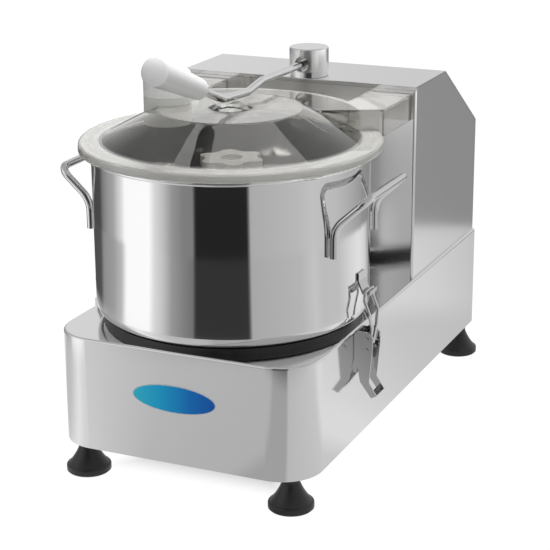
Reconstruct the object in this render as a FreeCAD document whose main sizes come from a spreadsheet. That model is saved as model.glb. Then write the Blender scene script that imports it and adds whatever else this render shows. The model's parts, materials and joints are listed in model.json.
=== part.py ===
import FreeCAD, Part
import math
import os

import Sketcher
from FreeCAD import Placement, Rotation, Vector

# Bowl cutter: a spindle with two blades turns in a lidded bowl in front of a motor tower.
# X points right, Y to the back, Z up. The origin is the middle of the footprint, on the floor.
# Lengths are in millimetres and angles in degrees.

SIZES = {
    # Sheet-metal housing
    "base_width": 280,
    "base_depth": 520,
    "base_height": 118,
    "base_corner": 42,
    "base_edge": 2.5,
    "sheet": 1.5,
    "return_flange": 16,
    "tower_inset": 3,
    "tower_setback": 306,
    "tower_height": 213,
    "tower_top_depth": 97,
    "tower_back_height": 134.5,
    "tower_bend": 3,
    "cover_lip": 4,
    "cover_gap": 0.3,
    "louvre_width": 110,
    "louvre_height": 5,
    "louvre_pitch": 12,
    "louvre_count": 8,
    "plate_inset": 7,
    "vent_slot_length": 70,
    "vent_slot_width": 5,
    "vent_pitch": 14,
    "vent_count": 6,
    "screw_head": 4,
    "screw_head_height": 2,
    # Feet
    "foot_height": 34.5,
    "foot_radius": 23,
    "foot_rim": 6,
    "foot_chamfer": 1.5,
    "foot_round": 2,
    "foot_flare": 60,
    "foot_neck": 9,
    "foot_neck_height": 6.5,
    "foot_front_side": 26,
    "foot_front_back": 25,
    "foot_rear_side": 13,
    "foot_rear_back": 15,
    "bolt_radius": 3,
    "bolt_head": 5.4,
    "bolt_head_height": 3,
    "bolt_room": 6.6,
    # Bowl
    "bowl_setback": 138,
    "bowl_radius": 141,
    "bowl_height": 170,
    "bowl_wall": 1.5,
    "bowl_edge": 12,
    "bead": 3,
    "column_height": 125,
    "seat_height": 6,
    "seat_inset": 7,
    "seat_width": 22,
    # Bowl handles
    "handle_wire": 8,
    "handle_span": 110,
    "handle_reach": 27,
    "handle_foot": 82,
    "handle_leg": 112,
    "handle_top": 142.5,
    "handle_bend": 26,
    "handle_corner": 13,
    "weld_gap": 0.2,
    # Lid
    "lid_sheet": 3,
    "lid_overhang": 12.5,
    "lid_lip": 4,
    "lid_lip_drop": 8.3,
    "lid_cone_inset": 9,
    "lid_disc_radius": 73,
    "lid_rise": 38,
    "gasket_inset": 1.5,
    "gasket_width": 7,
    "gasket_height": 5,
    "shelf_inset": 4,
    "shelf_drop": 8.7,
    "block_inner": 84,
    "block_outer": 131.5,
    "block_front": 86,
    "block_nose": 57,
    "block_nose_side": 72,
    "block_height": 28,
    "block_gap": 0.8,
    "boss_radius": 23,
    "boss_top_radius": 10,
    "boss_height": 5.3,
    "chute_offset": 71,
    "chute_radius": 24.3,
    "chute_wall": 2.5,
    "chute_above": 7,
    "chute_below": 22,
    "chute_joint": 0.1,
    "cap_height": 25,
    "cap_spigot": 16,
    "cap_wall": 2,
    "cap_edge": 3,
    # Lever over the lid
    "lever_setback": 339,
    "lever_over_lid": 2,
    "hub_radius": 21.6,
    "hub_height": 25.5,
    "hub_edge": 1,
    "hub_roof": 4,
    "collar_radius": 20.3,
    "collar_height": 3,
    "lever_shaft": 8,
    "lever_shaft_drop": 47,
    "bush_wall": 4,
    "bush_drop": 22,
    "rod_diameter": 8,
    "rod_start": 9,
    "rod_level": 9.1,
    "rod_first_bend": 125,
    "rod_rise": 1.6,
    "rod_dip_back": 160,
    "rod_dip": 3,
    "rod_gap": 1.4,
    "rod_low_reach": 218.5,
    "rod_low_rise": 1.1,
    "rod_tip_reach": 287,
    "rod_tip_rise": 26,
    "rod_wide_bend": 27,
    "rod_bend": 12,
    "nut_width": 13,
    "nut_height": 5,
    "nut_seat": 12.5,
    "nut_recess": 8.2,
    "grip_length": 101.5,
    "grip_radius": 14,
    "grip_neck": 6.5,
    "grip_shoulder": 10.6,
    "grip_ferrule": 12,
    "grip_ferrule_round": 14,
    "grip_step": 0.4,
    "grip_edge": 1.5,
    "grip_dome": 27,
    "grip_rod_depth": 24,
    "cam_radius": 16,
    "cam_height": 8,
    "cam_flat": 4,
    "cam_rise": 2,
    "switch_gap": 0.5,
    "switch_width": 28,
    "switch_height": 16,
    "switch_button": 2,
    "switch_button_reach": 1.5,
    # Draw latches
    "latch_width": 23.5,
    "latch_plate": 1.5,
    "latch_gap": 0.3,
    "latch_pivot_out": 11.1,
    "latch_pivot_drop": 7.8,
    "latch_throw": 11.7,
    "latch_pin": 2,
    "latch_ear": 7,
    "latch_lever_length": 62,
    "latch_lever_depth": 17.9,
    "latch_lever_top": 7.5,
    "latch_lever_tail": 5,
    "latch_waist": 24,
    "latch_flare": 8,
    "latch_web": 3.5,
    "latch_clearance": 1,
    "rivet_head": 2.6,
    "rivet_head_height": 0.8,
    "bracket_height": 45,
    "bracket_plate": 2,
    "bail_wire": 3.6,
    "bail_half_width": 6,
    "bail_rise": 60.5,
    "bail_lean": 1.6,
    "bail_bow": 4.2,
    "bail_eye": 1.9,
    "bail_bend": 6,
    "bail_corner": 3,
    "catch_width": 18,
    "catch_plate": 1.5,
    "catch_top": 53.5,
    "catch_bend": 45.5,
    "catch_room": 1,
    "catch_slope": 1.2,
    "catch_lip": 2.2,
    # Spindle and cutter
    "spindle_radius": 10,
    "spindle_rise": 138,
    "shaft_tail": 4,
    "thread_step": 2,
    "thread_length": 12,
    "seat_step": 1,
    "running_gap": 0.05,
    "housing_flange": 48,
    "housing_flange_height": 6,
    "housing_wall": 6,
    "housing_drop": 62,
    "housing_room": 2,
    "nose_wall": 3,
    "nose_rise": 40,
    "nose_gap": 2.5,
    "upper_bearing_radius": 15,
    "upper_bearing_width": 10,
    "seal_height": 4,
    "lower_bearing_radius": 21,
    "lower_bearing_width": 12,
    "bearing_race": 2.6,
    "shield_depth": 0.6,
    "housing_bolt_circle": 40,
    "housing_bolts": 4,
    "sleeve_gap": 1.5,
    "sleeve_wall": 6.5,
    "sleeve_draft": 2,
    "sleeve_lift": 5,
    "sleeve_ledge": 10,
    "sleeve_flange_height": 5,
    "sleeve_cap": 11.5,
    "blade_thickness": 3,
    "blade_tip_gap": 6.5,
    "blade_root_overlap": 2,
    "blade_root_front": 48,
    "blade_root_back": 38,
    "blade_tip_angle": 52,
    "blade_tip_sweep": 5,
    "blade_tip_width": 9,
    "spacer_height": 13,
    "clamp_height": 10,
    "clamp_edge": 2,
    "knob_radius": 34,
    "knob_lobe": 9,
    "knob_height": 10,
    "knob_boss": 22,
    "knob_boss_height": 8,
    "knob_recess": 11.5,
    "knob_recess_depth": 4,
    # Drive
    "motor_setback": 412,
    "motor_radius": 62,
    "motor_foot": 70,
    "motor_foot_height": 8,
    "motor_length": 100,
    "motor_wall": 5,
    "motor_end": 10,
    "motor_fins": 14,
    "fin_depth": 4,
    "fin_width": 2.5,
    "rotor_gap": 0.8,
    "motor_shaft": 9.5,
    "fan_radius": 50,
    "fan_height": 16,
    "fan_hub": 16,
    "fan_blades": 6,
    "fan_plate": 2,
    "fan_gap": 2,
    "shaft_end": 4,
    "cowl_height": 30,
    "mount_plate": 6,
    "mount_plate_width": 170,
    "mount_plate_depth": 160,
    "pulley_gap": 4,
    "pulley_width": 22,
    "pulley_flange": 2,
    "pulley_flange_rise": 3,
    "drive_pulley_radius": 28,
    "driven_pulley_radius": 42,
    "belt_thickness": 2,
    "belt_gap": 0.2,
    # Controls and wiring
    "panel_back": 175,
    "panel_drop": 58,
    "panel_length": 72,
    "panel_height": 34,
    "panel_corner": 5,
    "panel_thickness": 1.5,
    "button_radius": 9,
    "button_gap": 0.3,
    "button_spacing": 34,
    "button_proud": 5,
    "button_length": 20,
    "button_travel": 3,
    "button_edge": 1.2,
    "collar_wall": 1.8,
    "collar_length": 10,
    "block_depth": 30,
    "gland_side": 45,
    "gland_rise": 26,
    "gland_radius": 9,
    "gland_length": 16,
    "gland_bore": 4,
    "gland_wall": 3,
    "electrics_width": 56,
    "electrics_depth": 80,
    "electrics_height": 44,
    "electrics_side": 16,
    "electrics_back": 55,
    "capacitor_radius": 20,
    "capacitor_length": 90,
    "capacitor_side": 45,
}

doc = FreeCAD.newDocument("cutter_mixer")
sheet = doc.addObject("Spreadsheet::Sheet", "Dims")
for row, (alias, amount) in enumerate(SIZES.items(), start=1):
    sheet.set(f"A{row}", alias)
    sheet.set(f"B{row}", str(amount))
    sheet.setAlias(f"B{row}", alias)
doc.recompute()

LEFT = -1
RIGHT = 1
SIDE_NAMES = {LEFT: "left", RIGHT: "right"}


class Term:
    """A length that carries its number and the sheet formula it comes from."""

    def __init__(self, number, text):
        self.number = number
        self.text = text

    def joined(self, sign, other, number):
        return Term(number, f"({self.text} {sign} {as_term(other).text})")

    def __add__(self, other):
        return self.joined("+", other, self.number + as_term(other).number)

    def __sub__(self, other):
        return self.joined("-", other, self.number - as_term(other).number)

    def __mul__(self, other):
        return self.joined("*", other, self.number * as_term(other).number)

    def __truediv__(self, other):
        return self.joined("/", other, self.number / as_term(other).number)

    def __radd__(self, other):
        return as_term(other) + self

    def __rsub__(self, other):
        return as_term(other) - self

    def __rmul__(self, other):
        return as_term(other) * self

    def __rtruediv__(self, other):
        return as_term(other) / self

    def __neg__(self):
        return as_term(0) - self


def as_term(value):
    return value if isinstance(value, Term) else Term(float(value), repr(value))


def root(term):
    return Term(math.sqrt(term.number), f"sqrt({term.text})")


def sine(term):
    angle = as_term(term)
    return Term(math.sin(math.radians(angle.number)), f"sin({angle.text})")


def cosine(term):
    angle = as_term(term)
    return Term(math.cos(math.radians(angle.number)), f"cos({angle.text})")


def larger(one, other):
    return Term(max(one.number, other.number), f"max({one.text}; {other.text})")


class Dimensions:
    """Gives each sheet value as a Term: dims.bowl_radius and so on."""

    def __getattr__(self, alias):
        return Term(float(sheet.get(alias)), f"Dims.{alias}")


dims = Dimensions()

# Levels, faces and axes that several pieces share
SIDE = dims.base_width / 2
FRONT = -dims.base_depth / 2
BACK = dims.base_depth / 2
PLATE_UNDERSIDE = dims.foot_height
CASING_FOOT = PLATE_UNDERSIDE + dims.sheet
DECK = CASING_FOOT + dims.base_height
DECK_UNDERSIDE = DECK - dims.sheet
TOWER_SIDE = SIDE - dims.tower_inset
TOWER_FRONT = FRONT + dims.tower_setback
TOWER_TOP = DECK + dims.tower_height
TOWER_BACK_TOP = DECK + dims.tower_back_height
BOWL_Y = FRONT + dims.bowl_setback
BOWL_FOOT = DECK + dims.seat_height
BOWL_RIM = BOWL_FOOT + dims.bowl_height
LID_TOP = BOWL_RIM + dims.lid_rise
LID_RADIUS = dims.bowl_radius + dims.lid_overhang
GASKET_IN = dims.bowl_radius - dims.gasket_inset
GASKET_OUT = GASKET_IN + dims.gasket_width
CHUTE_TOP = LID_TOP + dims.chute_above
LEVER_Y = FRONT + dims.lever_setback
COLLAR_TOP = TOWER_TOP + dims.collar_height
HUB_FOOT = larger(COLLAR_TOP, LID_TOP + dims.lever_over_lid) + dims.cover_gap
ROD_LEVEL = HUB_FOOT + dims.rod_level
ROD_OVER_BOSS = LID_TOP + dims.boss_height + dims.rod_gap + dims.rod_diameter / 2
MOTOR_Y = FRONT + dims.motor_setback
MOTOR_FOOT = DECK + dims.mount_plate

# The spindle's bearings set the nose, the nose the bowl's column, the column the sleeve
NOSE = dims.upper_bearing_radius + dims.nose_wall
NOSE_TOP = BOWL_FOOT + dims.nose_rise
COLUMN_IN = NOSE + dims.nose_gap
COLUMN_OUT = COLUMN_IN + dims.bowl_wall
SLEEVE_BORE = COLUMN_OUT + dims.sleeve_gap
SLEEVE_OUT = SLEEVE_BORE + dims.sleeve_wall
SLEEVE_LEDGE = SLEEVE_OUT + dims.sleeve_ledge
SLEEVE_FOOT = BOWL_FOOT + dims.sleeve_lift
HOUSING_FOOT = DECK - dims.housing_drop
PULLEY_FOOT = HOUSING_FOOT - dims.pulley_gap - dims.pulley_width
SHAFT_FOOT = PULLEY_FOOT - dims.shaft_tail
SPINDLE_TOP = BOWL_FOOT + dims.spindle_rise
THREAD = dims.spindle_radius - dims.thread_step
PULLEY_SEAT = dims.spindle_radius - dims.seat_step

# The latches stand clear of the casing's side or the bowl's, whichever is further out
LATCH_BASE = larger(SIDE, dims.bowl_radius)
LATCH_PIVOT_X = LATCH_BASE + dims.latch_pivot_out
LATCH_PIVOT_Z = DECK - dims.latch_pivot_drop
BAIL_PIN_Z = LATCH_PIVOT_Z - dims.latch_throw

PANEL_Y = FRONT + dims.base_depth / 2 + dims.panel_back
PANEL_Z = DECK - dims.panel_drop
GLAND_X = dims.gland_side - SIDE
GLAND_Z = CASING_FOOT + dims.gland_rise
GLAND_THREAD = dims.gland_bore + dims.gland_wall


def plane_of(body, name):
    for feature in body.Origin.OriginFeatures:
        if feature.Role == f"{name}_Plane":
            return feature
    raise ValueError(f"{body.Label} has no {name} plane")


def place(thing, x=0, y=0, z=0):
    """Binds a piece's position to the sheet."""
    for axis, value in (("x", x), ("y", y), ("z", z)):
        thing.setExpression(f"Placement.Base.{axis}", as_term(value).text)


class Piece:
    """One sub-part as a PartDesign body, built up by sketched features."""

    def __init__(self, label):
        self.body = doc.addObject("PartDesign::Body", label)
        self.body.Label = label

    def sketch(self, plane, level=0):
        sketch = self.body.newObject("Sketcher::SketchObject", f"{self.body.Label}_sketch")
        sketch.AttachmentSupport = [(plane_of(self.body, plane), "")]
        sketch.MapMode = "FlatFace"
        sketch.setExpression("AttachmentOffset.Base.z", as_term(level).text)
        return sketch

    def fix_point(self, sketch, geometry, position, x, y):
        """Ties a point of the sketch to sheet values, measured from the sketch's origin."""
        spots = (("DistanceX", as_term(x), -2), ("DistanceY", as_term(y), -1))
        for kind, term, axis in spots:
            if abs(term.number) < 1e-9:
                sketch.addConstraint(Sketcher.Constraint("PointOnObject", geometry, position, axis))
                continue
            ends = (-1, 1, geometry, position) if term.number > 0 else (geometry, position, -1, 1)
            distance = term if term.number > 0 else -term
            rule = Sketcher.Constraint(kind, *ends, abs(term.number))
            index = sketch.addConstraint(rule)
            sketch.setExpression(f"Constraints[{index}]", distance.text)

    def draw_outline(self, sketch, corners):
        """Joins the corners in order. A third value on a corner is the radius of the arc
        to the next one: positive turns left along it, negative turns right."""
        first = sketch.GeometryCount
        count = len(corners)
        reversed_arcs = set()
        for index, corner in enumerate(corners):
            following = corners[(index + 1) % count]
            start = Vector(as_term(corner[0]).number, as_term(corner[1]).number, 0)
            end = Vector(as_term(following[0]).number, as_term(following[1]).number, 0)
            if len(corner) == 2:
                sketch.addGeometry(Part.LineSegment(start, end), False)
                continue
            radius = as_term(corner[2])
            if radius.number < 0:
                reversed_arcs.add(index)
            sketch.addGeometry(arc_between(start, end, radius.number), False)
        for index, corner in enumerate(corners):
            after = (index + 1) % count
            leaving = 1 if index in reversed_arcs else 2
            arriving = 2 if after in reversed_arcs else 1
            rule = Sketcher.Constraint("Coincident", first + index, leaving, first + after, arriving)
            sketch.addConstraint(rule)
            own_start = 2 if index in reversed_arcs else 1
            self.fix_point(sketch, first + index, own_start, corner[0], corner[1])
            if len(corner) == 3:
                radius = as_term(corner[2])
                size = -radius if radius.number < 0 else radius
                rule = Sketcher.Constraint("Radius", first + index, size.number)
                number = sketch.addConstraint(rule)
                sketch.setExpression(f"Constraints[{number}]", size.text)

    def draw_circle(self, sketch, x, y, radius):
        size = as_term(radius)
        centre = Vector(as_term(x).number, as_term(y).number, 0)
        index = sketch.addGeometry(Part.Circle(centre, Vector(0, 0, 1), size.number), False)
        self.fix_point(sketch, index, 3, x, y)
        number = sketch.addConstraint(Sketcher.Constraint("Radius", index, size.number))
        sketch.setExpression(f"Constraints[{number}]", size.text)

    def filled(self, plane, level, outline, circles):
        sketch = self.sketch(plane, level)
        if outline:
            self.draw_outline(sketch, outline)
        for x, y, radius in circles:
            self.draw_circle(sketch, x, y, radius)
        return sketch

    def volume_now(self):
        doc.recompute()
        return self.body.Shape.Volume

    def pad(self, plane, low, high, outline=None, circles=()):
        """Adds material from low to high along the plane's world axis."""
        level = -as_term(high) if plane == "XZ" else low
        feature_sketch = self.filled(plane, level, outline, circles)
        feature = self.body.newObject("PartDesign::Pad", f"{self.body.Label}_pad")
        feature.Profile = feature_sketch
        feature.setExpression("Length", (as_term(high) - low).text)
        return feature

    def pocket(self, plane, low, high, outline=None, circles=()):
        """Removes material from low to high along the plane's world axis."""
        before = self.volume_now()
        level = -as_term(high) if plane == "XZ" else low
        feature_sketch = self.filled(plane, level, outline, circles)
        feature = self.body.newObject("PartDesign::Pocket", f"{self.body.Label}_pocket")
        feature.Profile = feature_sketch
        feature.Reversed = True
        feature.setExpression("Length", (as_term(high) - low).text)
        self.expect_less(before, feature)
        return feature

    def revolve(self, outline):
        """Turns an outline of (radius, height) about the piece's own Z axis."""
        sketch = self.sketch("XZ")
        self.draw_outline(sketch, outline)
        feature = self.body.newObject("PartDesign::Revolution", f"{self.body.Label}_turn")
        feature.Profile = sketch
        feature.ReferenceAxis = (sketch, ["V_Axis"])
        feature.Angle = 360
        return feature

    def groove(self, outline):
        before = self.volume_now()
        sketch = self.sketch("XZ")
        self.draw_outline(sketch, outline)
        feature = self.body.newObject("PartDesign::Groove", f"{self.body.Label}_groove")
        feature.Profile = sketch
        feature.ReferenceAxis = (sketch, ["V_Axis"])
        feature.Angle = 360
        self.expect_less(before, feature)
        return feature

    def expect_less(self, before, feature):
        if self.volume_now() > before - 1e-3:
            raise ValueError(f"{feature.Label} removes nothing from {self.body.Label}")

    def around(self, feature, count):
        """Repeats a feature about the piece's own Z axis."""
        pattern = self.body.newObject("PartDesign::PolarPattern", f"{self.body.Label}_polar")
        pattern.Originals = [feature]
        pattern.Axis = (feature.Profile[0], ["N_Axis"])
        pattern.Angle = 360
        pattern.setExpression("Occurrences", as_term(count).text)
        self.body.Tip = pattern

    def along(self, feature, axis, pitch, count):
        """Repeats a feature at an even pitch along its sketch's own H or V axis."""
        pattern = self.body.newObject("PartDesign::LinearPattern", f"{self.body.Label}_row")
        pattern.Originals = [feature]
        pattern.Direction = (feature.Profile[0], [f"{axis}_Axis"])
        pattern.setExpression("Length", (pitch * (count - 1)).text)
        pattern.setExpression("Occurrences", count.text)
        self.body.Tip = pattern

    def soften(self, kind, amount, chosen):
        """Fillets or chamfers the edges for which chosen(edge) is true."""
        doc.recompute()
        tip = self.body.Tip
        edges = [f"Edge{number}" for number, edge in enumerate(tip.Shape.Edges, start=1)
                 if chosen(edge)]
        if not edges:
            raise ValueError(f"{self.body.Label} has no edge to soften")
        feature = self.body.newObject(f"PartDesign::{kind}", f"{self.body.Label}_{kind.lower()}")
        feature.Base = (tip, edges)
        feature.setExpression("Radius" if kind == "Fillet" else "Size", as_term(amount).text)
        return feature


def arc_between(start, end, radius):
    """The shorter arc from start to end; a negative radius turns right."""
    chord = end - start
    half = chord.Length / 2
    normal = Vector(-chord.y, chord.x, 0).normalize()
    height = math.sqrt(max(radius * radius - half * half, 0))
    centre = (start + end) / 2 + normal * (height if radius > 0 else -height)
    first, last = (start, end) if radius > 0 else (end, start)
    begin = math.atan2(first.y - centre.y, first.x - centre.x)
    finish = math.atan2(last.y - centre.y, last.x - centre.x)
    circle = Part.Circle(centre, Vector(0, 0, 1), abs(radius))
    return Part.ArcOfCircle(circle, begin, finish)


def rectangle(x_low, x_high, y_low, y_high):
    return [(x_low, y_low), (x_high, y_low), (x_high, y_high), (x_low, y_high)]


def rounded_rectangle(x_low, x_high, y_low, y_high, radius):
    return [
        (x_low + radius, y_low), (x_high - radius, y_low, radius),
        (x_high, y_low + radius), (x_high, y_high - radius, radius),
        (x_high - radius, y_high), (x_low + radius, y_high, radius),
        (x_low, y_high - radius), (x_low, y_low + radius, radius),
    ]


def turned(label, outline, y=0, z=0, x=0):
    piece = Piece(label)
    piece.revolve(outline)
    place(piece.body, x, y, z)
    return piece


def coded_shape(label, shape):
    """A sub-part whose shape is made directly, for bent rods, strips and the belt."""
    thing = doc.addObject("Part::Feature", label)
    thing.Label = label
    thing.Shape = shape
    return thing


def bent_rod(points, radius, bends):
    """A round rod through the points, with an arc of the given bend radius at each corner."""
    edges = []
    start = points[0]
    for index in range(1, len(points) - 1):
        corner = points[index]
        inward = (points[index - 1] - corner).normalize()
        outward = (points[index + 1] - corner).normalize()
        half_angle = inward.getAngle(outward) / 2
        trim = bends[index - 1] / math.tan(half_angle)
        arc_start = corner + inward * trim
        arc_end = corner + outward * trim
        bisector = (inward + outward).normalize()
        middle = corner + bisector * (bends[index - 1] / math.sin(half_angle) - bends[index - 1])
        if (arc_start - start).Length > 1e-6:
            edges.append(Part.LineSegment(start, arc_start).toShape())
        edges.append(Part.Arc(arc_start, middle, arc_end).toShape())
        start = arc_end
    edges.append(Part.LineSegment(start, points[-1]).toShape())
    path = Part.Wire(edges)
    direction = points[1] - points[0]
    section = Part.Wire([Part.Circle(points[0], direction, radius).toShape()])
    return path.makePipeShell([section], True, False)


# Housing

def casing_outline(inset):
    """The base casing in plan, with its two rounded front corners."""
    corner = dims.base_corner - inset
    return [
        (-SIDE + inset, BACK - inset),
        (-SIDE + inset, FRONT + inset + corner, corner),
        (-SIDE + inset + corner, FRONT + inset),
        (SIDE - inset - corner, FRONT + inset, corner),
        (SIDE - inset, FRONT + inset + corner),
        (SIDE - inset, BACK - inset),
    ]


def make_base_casing():
    """Welded casing: rounded front, sides, back, deck and an inward flange underneath."""
    piece = Piece("base_casing")
    piece.pad("XY", CASING_FOOT, DECK, casing_outline(0))

    def is_bent_edge(edge):
        box = edge.BoundBox
        return box.ZMin > DECK.number - 0.01 and box.YMin < BACK.number - 1

    piece.soften("Fillet", dims.base_edge, is_bent_edge)
    piece.pocket("XY", CASING_FOOT + dims.sheet, DECK_UNDERSIDE, casing_outline(dims.sheet))
    piece.pocket("XY", CASING_FOOT, CASING_FOOT + dims.sheet, casing_outline(dims.return_flange))
    holes = [
        (0, BOWL_Y, NOSE + dims.cover_gap),
        (0, MOTOR_Y, dims.motor_shaft + dims.motor_wall),
    ]
    piece.pocket("XY", DECK_UNDERSIDE, DECK, circles=holes)
    half = dims.button_spacing / 2
    collar = dims.button_radius + dims.button_gap + dims.collar_wall + dims.button_gap
    buttons = [(PANEL_Y - half, PANEL_Z, collar), (PANEL_Y + half, PANEL_Z, collar)]
    piece.pocket("YZ", -SIDE, -SIDE + dims.sheet, circles=buttons)
    piece.pocket("XZ", BACK - dims.sheet, BACK, circles=[(GLAND_X, GLAND_Z, GLAND_THREAD)])


def make_bottom_plate():
    """Screwed-on floor of the base, with a row of air slots under the motor."""
    piece = Piece("bottom_plate")
    piece.pad("XY", PLATE_UNDERSIDE, CASING_FOOT, casing_outline(dims.plate_inset))
    half = dims.vent_slot_length / 2
    row_start = MOTOR_Y - dims.vent_pitch * (dims.vent_count - 1) / 2
    slot = piece.pocket("XY", PLATE_UNDERSIDE, CASING_FOOT,
                        rectangle(-half, half, row_start, row_start + dims.vent_slot_width))
    piece.along(slot, "V", dims.vent_pitch, dims.vent_count)


def tower_profile(inset, front, foot, lip):
    """The tower seen from the side, inset from its top, slope and back. lip lowers a notch
    at the front of the top for the cover's down-turned edge."""
    rise = dims.tower_height - dims.tower_back_height
    run = dims.base_depth - dims.tower_setback - dims.tower_top_depth
    slope = rise / run
    steep = run / rise
    top_shift = inset * (root(slope * slope + 1) - 1) / slope
    back_shift = inset * (root(steep * steep + 1) - 1) / steep
    top = TOWER_TOP - inset
    corners = [(front, foot)]
    if lip:
        step = dims.sheet + dims.cover_gap
        corners += [(front, TOWER_TOP - lip), (front + step, TOWER_TOP - lip), (front + step, top)]
    else:
        corners += [(front, top)]
    corners += [
        (TOWER_FRONT + dims.tower_top_depth - top_shift, top),
        (BACK - inset, TOWER_BACK_TOP - back_shift),
        (BACK - inset, foot),
    ]
    return corners


def make_tower_casing():
    """Front and both sides of the tower in one bent sheet, standing on the deck."""
    piece = Piece("tower_casing")
    inset = dims.sheet + dims.cover_gap / 2
    lip = dims.cover_lip + dims.cover_gap
    profile = tower_profile(inset, TOWER_FRONT, DECK, lip)
    piece.pad("YZ", -TOWER_SIDE, TOWER_SIDE, profile)
    inner_side = TOWER_SIDE - dims.sheet
    room = rectangle(TOWER_FRONT + dims.sheet, BACK + dims.sheet, DECK, TOWER_TOP)
    piece.pocket("YZ", -inner_side, inner_side, room)
    face = TOWER_FRONT.number
    side = TOWER_SIDE.number

    def is_front_corner(edge):
        box = edge.BoundBox
        at_front = abs(box.YMin - face) < 0.01 and abs(box.YMax - face) < 0.01
        return at_front and box.ZLength > 50 and abs(abs(box.XMin) - side) < 0.01

    piece.soften("Fillet", dims.tower_bend, is_front_corner)


def make_tower_cover():
    """Top, slope and back of the tower in one removable bent sheet, with air louvres."""
    piece = Piece("tower_cover")
    outer = tower_profile(as_term(0), TOWER_FRONT, DECK, None)
    piece.pad("YZ", -TOWER_SIDE, TOWER_SIDE, outer)
    inner = tower_profile(dims.sheet, TOWER_FRONT + dims.sheet, DECK, None)
    piece.pocket("YZ", -TOWER_SIDE, TOWER_SIDE, inner)
    front = rectangle(TOWER_FRONT, TOWER_FRONT + dims.sheet, DECK, TOWER_TOP - dims.cover_lip)
    piece.pocket("YZ", -TOWER_SIDE, TOWER_SIDE, front)
    hole = [(0, LEVER_Y, dims.lever_shaft + dims.bush_wall + dims.running_gap)]
    piece.pocket("XY", TOWER_TOP - dims.sheet, TOWER_TOP, circles=hole)
    half = dims.louvre_width / 2
    low = DECK + dims.louvre_pitch * 2
    slot = piece.pocket("XZ", BACK - dims.sheet, BACK,
                        rectangle(-half, half, low, low + dims.louvre_height))
    piece.along(slot, "V", dims.louvre_pitch, dims.louvre_count)


def make_cover_screws():
    """Pan-head screws that hold the cover's back to the tower's side flanges."""
    solids = []
    across = TOWER_SIDE.number - 2 * dims.screw_head.number
    levels = (DECK + dims.louvre_pitch, TOWER_BACK_TOP - dims.louvre_pitch)
    for x in (-across, across):
        for level in levels:
            at = Vector(x, BACK.number, level.number)
            size = (dims.screw_head.number, dims.screw_head_height.number)
            solids.append(Part.makeCylinder(*size, at, Vector(0, 1, 0)))
    coded_shape("cover_screws", Part.makeCompound(solids))


def foot_places():
    front = FRONT + dims.foot_front_back
    rear = BACK - dims.foot_rear_back
    return {
        "foot_front_left": (dims.foot_front_side - SIDE, front),
        "foot_front_right": (SIDE - dims.foot_front_side, front),
        "foot_rear_left": (dims.foot_rear_side - SIDE, rear),
        "foot_rear_right": (SIDE - dims.foot_rear_side, rear),
    }


def make_feet():
    """Bell-shaped rubber feet, each held by a bolt from below."""
    wide = dims.foot_radius
    bend = dims.foot_round
    neck_foot = dims.foot_height - dims.foot_neck_height
    for label, (x, y) in foot_places().items():
        outline = [
            (dims.bolt_room, 0), (wide - dims.foot_chamfer, 0), (wide, dims.foot_chamfer),
            (wide, dims.foot_rim, bend), (wide - bend, dims.foot_rim + bend, -dims.foot_flare),
            (dims.foot_neck, neck_foot), (dims.foot_neck, dims.foot_height),
            (dims.bolt_radius, dims.foot_height), (dims.bolt_radius, dims.foot_rim),
            (dims.bolt_room, dims.foot_rim),
        ]
        turned(label, outline, x=x, y=y)


def bolt_solid(at, length):
    """A bolt that points up, with the underside of its head at the given point."""
    up = Vector(0, 0, 1)
    head_height = dims.bolt_head_height.number
    shank = Part.makeCylinder(dims.bolt_radius.number, length, at, up)
    head = Part.makeCylinder(dims.bolt_head.number, head_height, at - up * head_height, up)
    return shank.fuse(head)


def make_frame_bolts():
    """Bolts of one size that hold the feet and the bearing housing from below."""
    rim = dims.foot_rim.number
    solids = [bolt_solid(Vector(x.number, y.number, rim), PLATE_UNDERSIDE.number - rim)
              for x, y in foot_places().values()]
    flange = dims.housing_flange_height.number
    count = round(dims.housing_bolts.number)
    for turn in range(count):
        turned_by = Rotation(Vector(0, 0, 1), 360 * turn / count)
        spot = turned_by.multVec(Vector(dims.housing_bolt_circle.number, 0, 0))
        at = spot + Vector(0, BOWL_Y.number, DECK_UNDERSIDE.number - flange)
        solids.append(bolt_solid(at, flange))
    coded_shape("frame_bolts", Part.makeCompound(solids))


# Bowl

def make_bowl():
    """Pressed bowl with a rolled bead and a round opening in its floor for the column."""
    inner = dims.bowl_radius - dims.bowl_wall
    bead_top = dims.bowl_height
    bead_out = dims.bowl_radius + dims.bead * 2
    bead_centre = dims.bowl_radius + dims.bead
    outline = [
        (COLUMN_OUT, 0), (dims.bowl_radius - dims.bowl_edge, 0, dims.bowl_edge),
        (dims.bowl_radius, dims.bowl_edge), (dims.bowl_radius, bead_top - dims.bead * 2),
        (bead_centre, bead_top - dims.bead * 2, dims.bead), (bead_out, bead_top - dims.bead, dims.bead),
        (bead_centre, bead_top), (inner, bead_top),
        (inner, dims.bowl_edge, -(dims.bowl_edge - dims.bowl_wall)),
        (dims.bowl_radius - dims.bowl_edge, dims.bowl_wall), (COLUMN_OUT, dims.bowl_wall),
    ]
    turned("bowl", outline, y=BOWL_Y, z=BOWL_FOOT)


def make_bowl_column():
    """Tube welded into the bowl's floor, round the nose that the spindle stands in."""
    turned("bowl_column", rectangle(COLUMN_IN, COLUMN_OUT, 0, dims.column_height),
           y=BOWL_Y, z=BOWL_FOOT)


def make_bowl_seat():
    """Rubber ring that the bowl stands on."""
    outer = dims.bowl_radius - dims.seat_inset
    outline = rectangle(outer - dims.seat_width, outer, 0, dims.seat_height)
    turned("bowl_seat", outline, y=BOWL_Y, z=DECK)


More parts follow.
